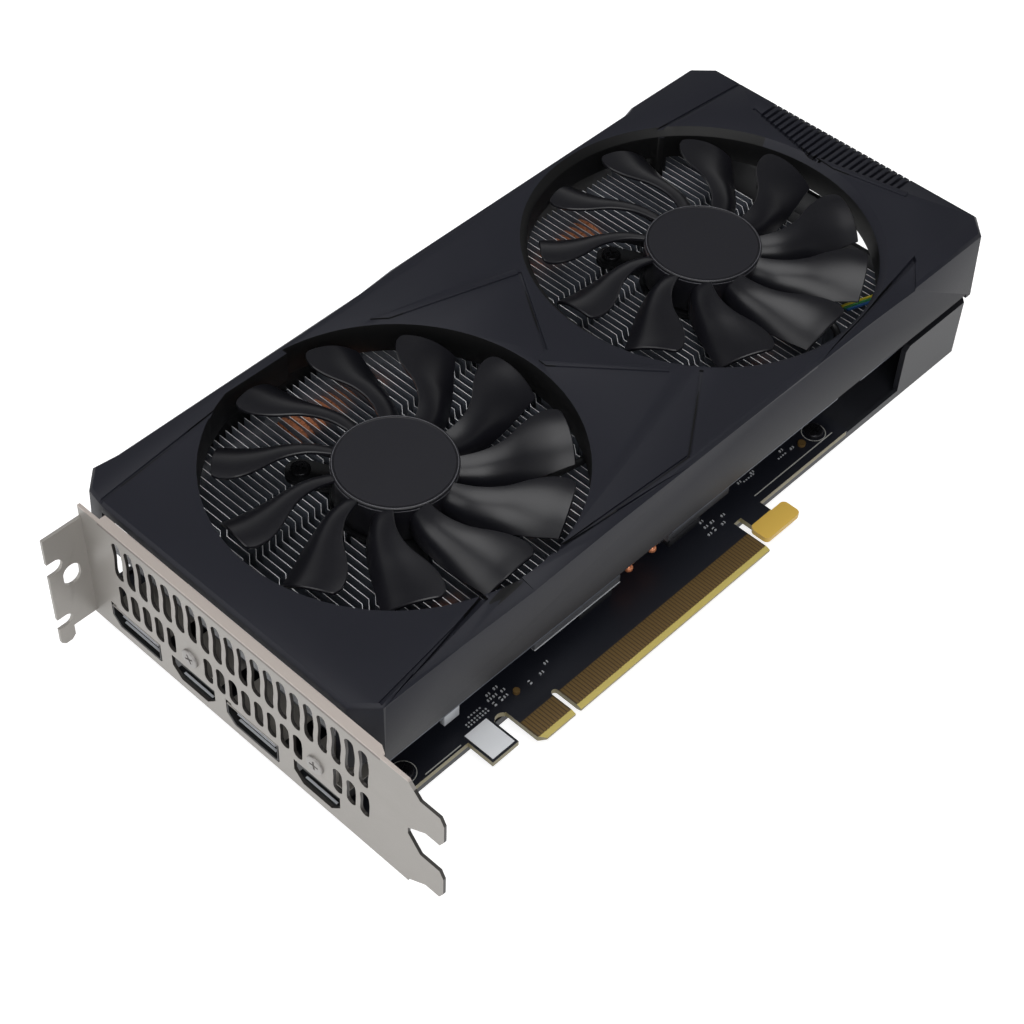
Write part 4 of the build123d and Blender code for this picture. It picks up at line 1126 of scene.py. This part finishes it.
boardLook = {
    "rings": ((-42.0, 16.8, 3.25), (113.5, 18.0, 3.25)),
    "strips": ((-55.0, -44.6, 12.7), (-38.8, -27.0, 12.7), (84.0, 117.0, 14.4)),
    "dots": ((-22.0, 15.1, 8), (-22.0, 15.9, 8), (-20.0, 17.1, 5), (86.0, 19.6, 5), (99.0, 18.4, 4)),
    "chips": (
        (-13.0, 15.2), (-11.0, 15.2), (-9.0, 15.2), (-13.0, 16.9), (-11.0, 16.9), (-8.6, 16.8),
        (-12.2, 18.5), (-9.6, 18.5), (-2.4, 14.1), (1.8, 14.1), (4.6, 15.6), (65.0, 14.2), (67.5, 14.0),
        (70.4, 13.9), (66.2, 16.2), (69.0, 16.4), (72.4, 16.0), (67.0, 18.2), (84.6, 20.1), (90.0, 20.0),
        (101.5, 20.0), (104.4, 18.6),
    ),
    "brown": ((-6.6, 14.2, 0.9), (107.5, 17.4, 1.1)),
    "chip": (1.15, 0.6, 0.4),
    "chipEnd": (0.32, 0.3, 0.9),  # length of a bright end, where the body starts, and its share of the height
    "scatter": 0.3,
    "dot": (0.95, 0.2, 0.12),  # pitch, half width and height
    "can": 0.9,
    "ring": (0.11, 0.4),  # half thickness, and how much flatter than round
    "strip": (0.14, 0.03),  # half width and height
}


def chipPattern():
    length, width, height = boardLook["chip"]
    bright, start, part = boardLook["chipEnd"]
    half, side = length / 2, width / 2
    body = addBlock("body", (start - half, -side, 0), (half - start, side, height * part))
    body.data.materials.append(finishes["chip_resin"])
    pieces = [body]
    for left, right in ((-half, bright - half), (half - bright, half)):
        pieces.append(addBlock("end", (left, -side, 0), (right, side, height)))
        pieces[-1].data.materials.append(finishes["tinned_metal"])
    return joined(pieces, "chip")


def smallParts():
    pattern = chipPattern()
    chance = random.Random(5)
    drift = boardLook["scatter"]
    parts = []
    for x, y in boardLook["chips"]:
        spot = Vector((x + chance.uniform(-drift, drift), y + chance.uniform(-drift, drift), 0)) * mm
        turn = Matrix.Rotation(math.radians(chance.choice((0, 0, 90))), 4, "Z")
        parts.append(twin(pattern, Matrix.Translation(spot) @ turn))
    bpy.data.objects.remove(pattern)
    pitch, half, height = boardLook["dot"]
    for start, row, count in boardLook["dots"]:
        for step in range(count):
            x = start + step * pitch
            dot = addBlock("dot", (x - half, row - half, 0), (x + half, row + half, height))
            dot.data.materials.append(finishes["tinned_metal"])
            parts.append(dot)
    for x, y, radius in boardLook["brown"]:
        can = addRod("can", (x, y, boardLook["can"] / 2), radius, boardLook["can"], 20)
        can.data.materials.append(finishes["contact_gold"])
        parts.append(can)
    whole = joined(parts, "smallParts")
    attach(whole, "card")


def boardMarks():
    thick, flat = boardLook["ring"]
    parts = []
    for x, y, radius in boardLook["rings"]:
        parts.append(addRing("ring", (x, y, 0), radius, thick, (64, 6), flat))
    half, height = boardLook["strip"]
    for start, end, row in boardLook["strips"]:
        parts.append(addBlock("strip", (start, row - half, 0), (end, row + half, height)))
    whole = joined(parts, "boardMarks")
    done(whole, "card", "board_laminate", finish="white_ink")


smallParts()
boardMarks()
print("board dressed")


# Pale strips in the port mouths, painted highlights along the tongues' edges, and sills below the narrow ports

tongueHighlightLook = {
    "thickness": 0.13,
    "length": 0.6,
    "wide": {"half": 6.6, "rows": ((1.0, 4.15), (1.0, 3.35), (1.1, 1.15))},  # depth behind the face and level
    "narrow": {"half": 5.2, "rows": ((1.1, 1.15),)},
}
sillLook = {"gap": 0.02, "depth": 1.6, "low": -1.5, "high": 0.9}


# pale strips for the light along the port tongues' edges: painted highlights
def portContacts():
    parts = []
    for kind in ("wide", "narrow"):
        half = tongueHighlightLook[kind]["half"]
        for place in portLook[kind]["places"]:
            for depth, level in tongueHighlightLook[kind]["rows"]:
                low = (bracketLook["face"] + depth, place - half, level)
                high = (low[0] + tongueHighlightLook["length"], place + half, level + tongueHighlightLook["thickness"])
                parts.append(addBlock("contact", low, high))
    whole = joined(parts, "portContacts")
    done(whole, "card", "tinned_metal")


def portSills():  # what closes the gap between the sheet and the board below the narrow ports
    look = sillLook
    inner = bracketLook["face"] + bracketLook["sheet"]
    half = portLook["narrow"]["half"]
    sills = []
    for place in portLook["narrow"]["places"]:
        low = (inner + look["gap"], place - half, look["low"])
        sills.append(addBlock("sill", low, (inner + look["depth"], place + half, look["high"])))
    whole = joined(sills, "portSills")
    done(whole, "card", "insulator_plastic")


portContacts()
portSills()
print("ports dressed")


# Three coloured fan wires that cross the fins by the far corner

wireLook = {
    "start": (136.4, 30.4, 22.95),
    "end": (148.6, 26.0, 22.95),
    "step": -0.95,
    "radius": 0.42,
    "colours": ("#d4c23c", "#3f8f52", "#2a5f9e"),
}


def fanWires():
    start, end = at(*wireLook["start"]), at(*wireLook["end"])
    run = end - start
    turn = Vector((0, 0, 1)).rotation_difference(run).to_matrix().to_4x4()
    for step, colour in enumerate(wireLook["colours"]):
        wire = addRod("fanWire" + str(step), (0, 0, 0), wireLook["radius"], run.length / mm, 16)
        sink(wire)
        drift = Vector((0, step * wireLook["step"] * mm, 0))
        wire.data.transform(Matrix.Translation((start + end) / 2 + drift) @ turn)
        sleeve = "lead_sleeve_" + str(step)
        finishes[sleeve] = makeFinish(sleeve, colour, colour, 0.45, 0.4, 0.01)
        done(wire, "card", "lead_sleeve", finish=sleeve)


fanWires()
print("wires laid")


# Camera, floor and light

view = {
    "from": (-236.35, -185.75, 400.615),
    "towards": (35.16, 55.81, 0.785),
    "roll": 2.69,
    "lens": 73.52,
    "shift": (0.001, -0.002),
}
eye = Vector(view["from"]) * mm
aim = Vector(view["towards"]) * mm


def aimed(name, data, place):  # a camera or a lamp that looks at the card's middle
    holder = newObject(name, data)
    holder.location = place
    holder.rotation_mode = "QUATERNION"
    holder.rotation_quaternion = (aim - Vector(place)).to_track_quat("-Z", "Y")
    return holder


camera = aimed("camera", bpy.data.cameras.new("camera"), eye)
turn = camera.rotation_quaternion.to_matrix() @ Matrix.Rotation(math.radians(view["roll"]), 3, "Z")
camera.rotation_quaternion = turn.to_quaternion()
camera.data.lens = view["lens"]
camera.data.sensor_width = 36
camera.data.shift_x, camera.data.shift_y = view["shift"]
camera.data.clip_start, camera.data.clip_end = 0.01, 20
bpy.context.scene.camera = camera

floorLook = {"size": 6.0, "drop": 0.05, "colours": ("#c8c8c8", "#cccccc"), "glow": 0.8}
clearSelection()
floorLevel = cadBounds[0].z - floorLook["drop"] * mm
bpy.ops.mesh.primitive_plane_add(size=floorLook["size"], location=(0, 0, floorLevel))
floor = bpy.context.object
floor.name = "floor"
floorFinish = Finish("pale_floor")
lit = [floorFinish.node("ShaderNodeLightPath", output=ray) for ray in ("Is Camera Ray", "Is Glossy Ray")]
floorFinish.use(
    Base_Color=floorFinish.mottled(floorLook["colours"], 40.0),
    Roughness=0.9,
    Emission_Color=paint("#ffffff"),
    Emission_Strength=(lit[0] + lit[1]) * floorLook["glow"],
)
floor.data.materials.append(floorFinish.material)

lamps = {  # place and size in metres, power in watts
    "key": {"at": (-0.55, -0.75, 0.95), "size": 0.9, "power": 7.0},
    "fill": {"at": (-0.9, 0.5, 0.7), "size": 0.9, "power": 4.0},
    "top": {"at": (0.05, 0.1, 1.3), "size": 1.0, "power": 8.0},
}
for name, lamp in lamps.items():
    light = bpy.data.lights.new(name, "AREA")
    light.shape = "SQUARE"
    light.size = lamp["size"]
    light.energy = lamp["power"]
    aimed(name, light, lamp["at"])

# The room is bright at the horizon and dim overhead, and plain white behind the object
skyLook = {"horizon": 0.6, "overhead": 0.05, "reach": 0.55}
room = Finish("studio", "worlds", "Background")
bpy.context.scene.world = room.material
direction = room.node("ShaderNodeTexCoord", output="Generated")
height = room.node("ShaderNodeSeparateXYZ", {}, {"Vector": direction}, output="Z")
near, far, reach = skyLook["horizon"], skyLook["overhead"], skyLook["reach"]
sky = room.node("ShaderNodeMapRange", {}, {"Value": height, "From Max": reach, "To Min": near, "To Max": far})
seen = room.node("ShaderNodeLightPath", output="Is Camera Ray")
room.use(Color=paint("#ffffff"), Strength=room.node("ShaderNodeMapRange", {}, {"Value": seen, "To Min": sky}))
bpy.context.scene.view_settings.view_transform = "Standard"
print("stage set")


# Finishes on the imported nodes

for node, piece in frame["nodes"].items():
    piece.data.materials.clear()
    piece.data.materials.append(finishes[nodeSlots[node]])
# a brighter copy of the tin for the pad: painted light, making up for the shroud's shade over it
padPaintedLight = makeFinish("tinned_pad_bright", "#eef1f6", "#f8fafc", 0.35, 1.5, 0.02)
frame["nodes"]["tinned_pad"].data.materials[0] = padPaintedLight
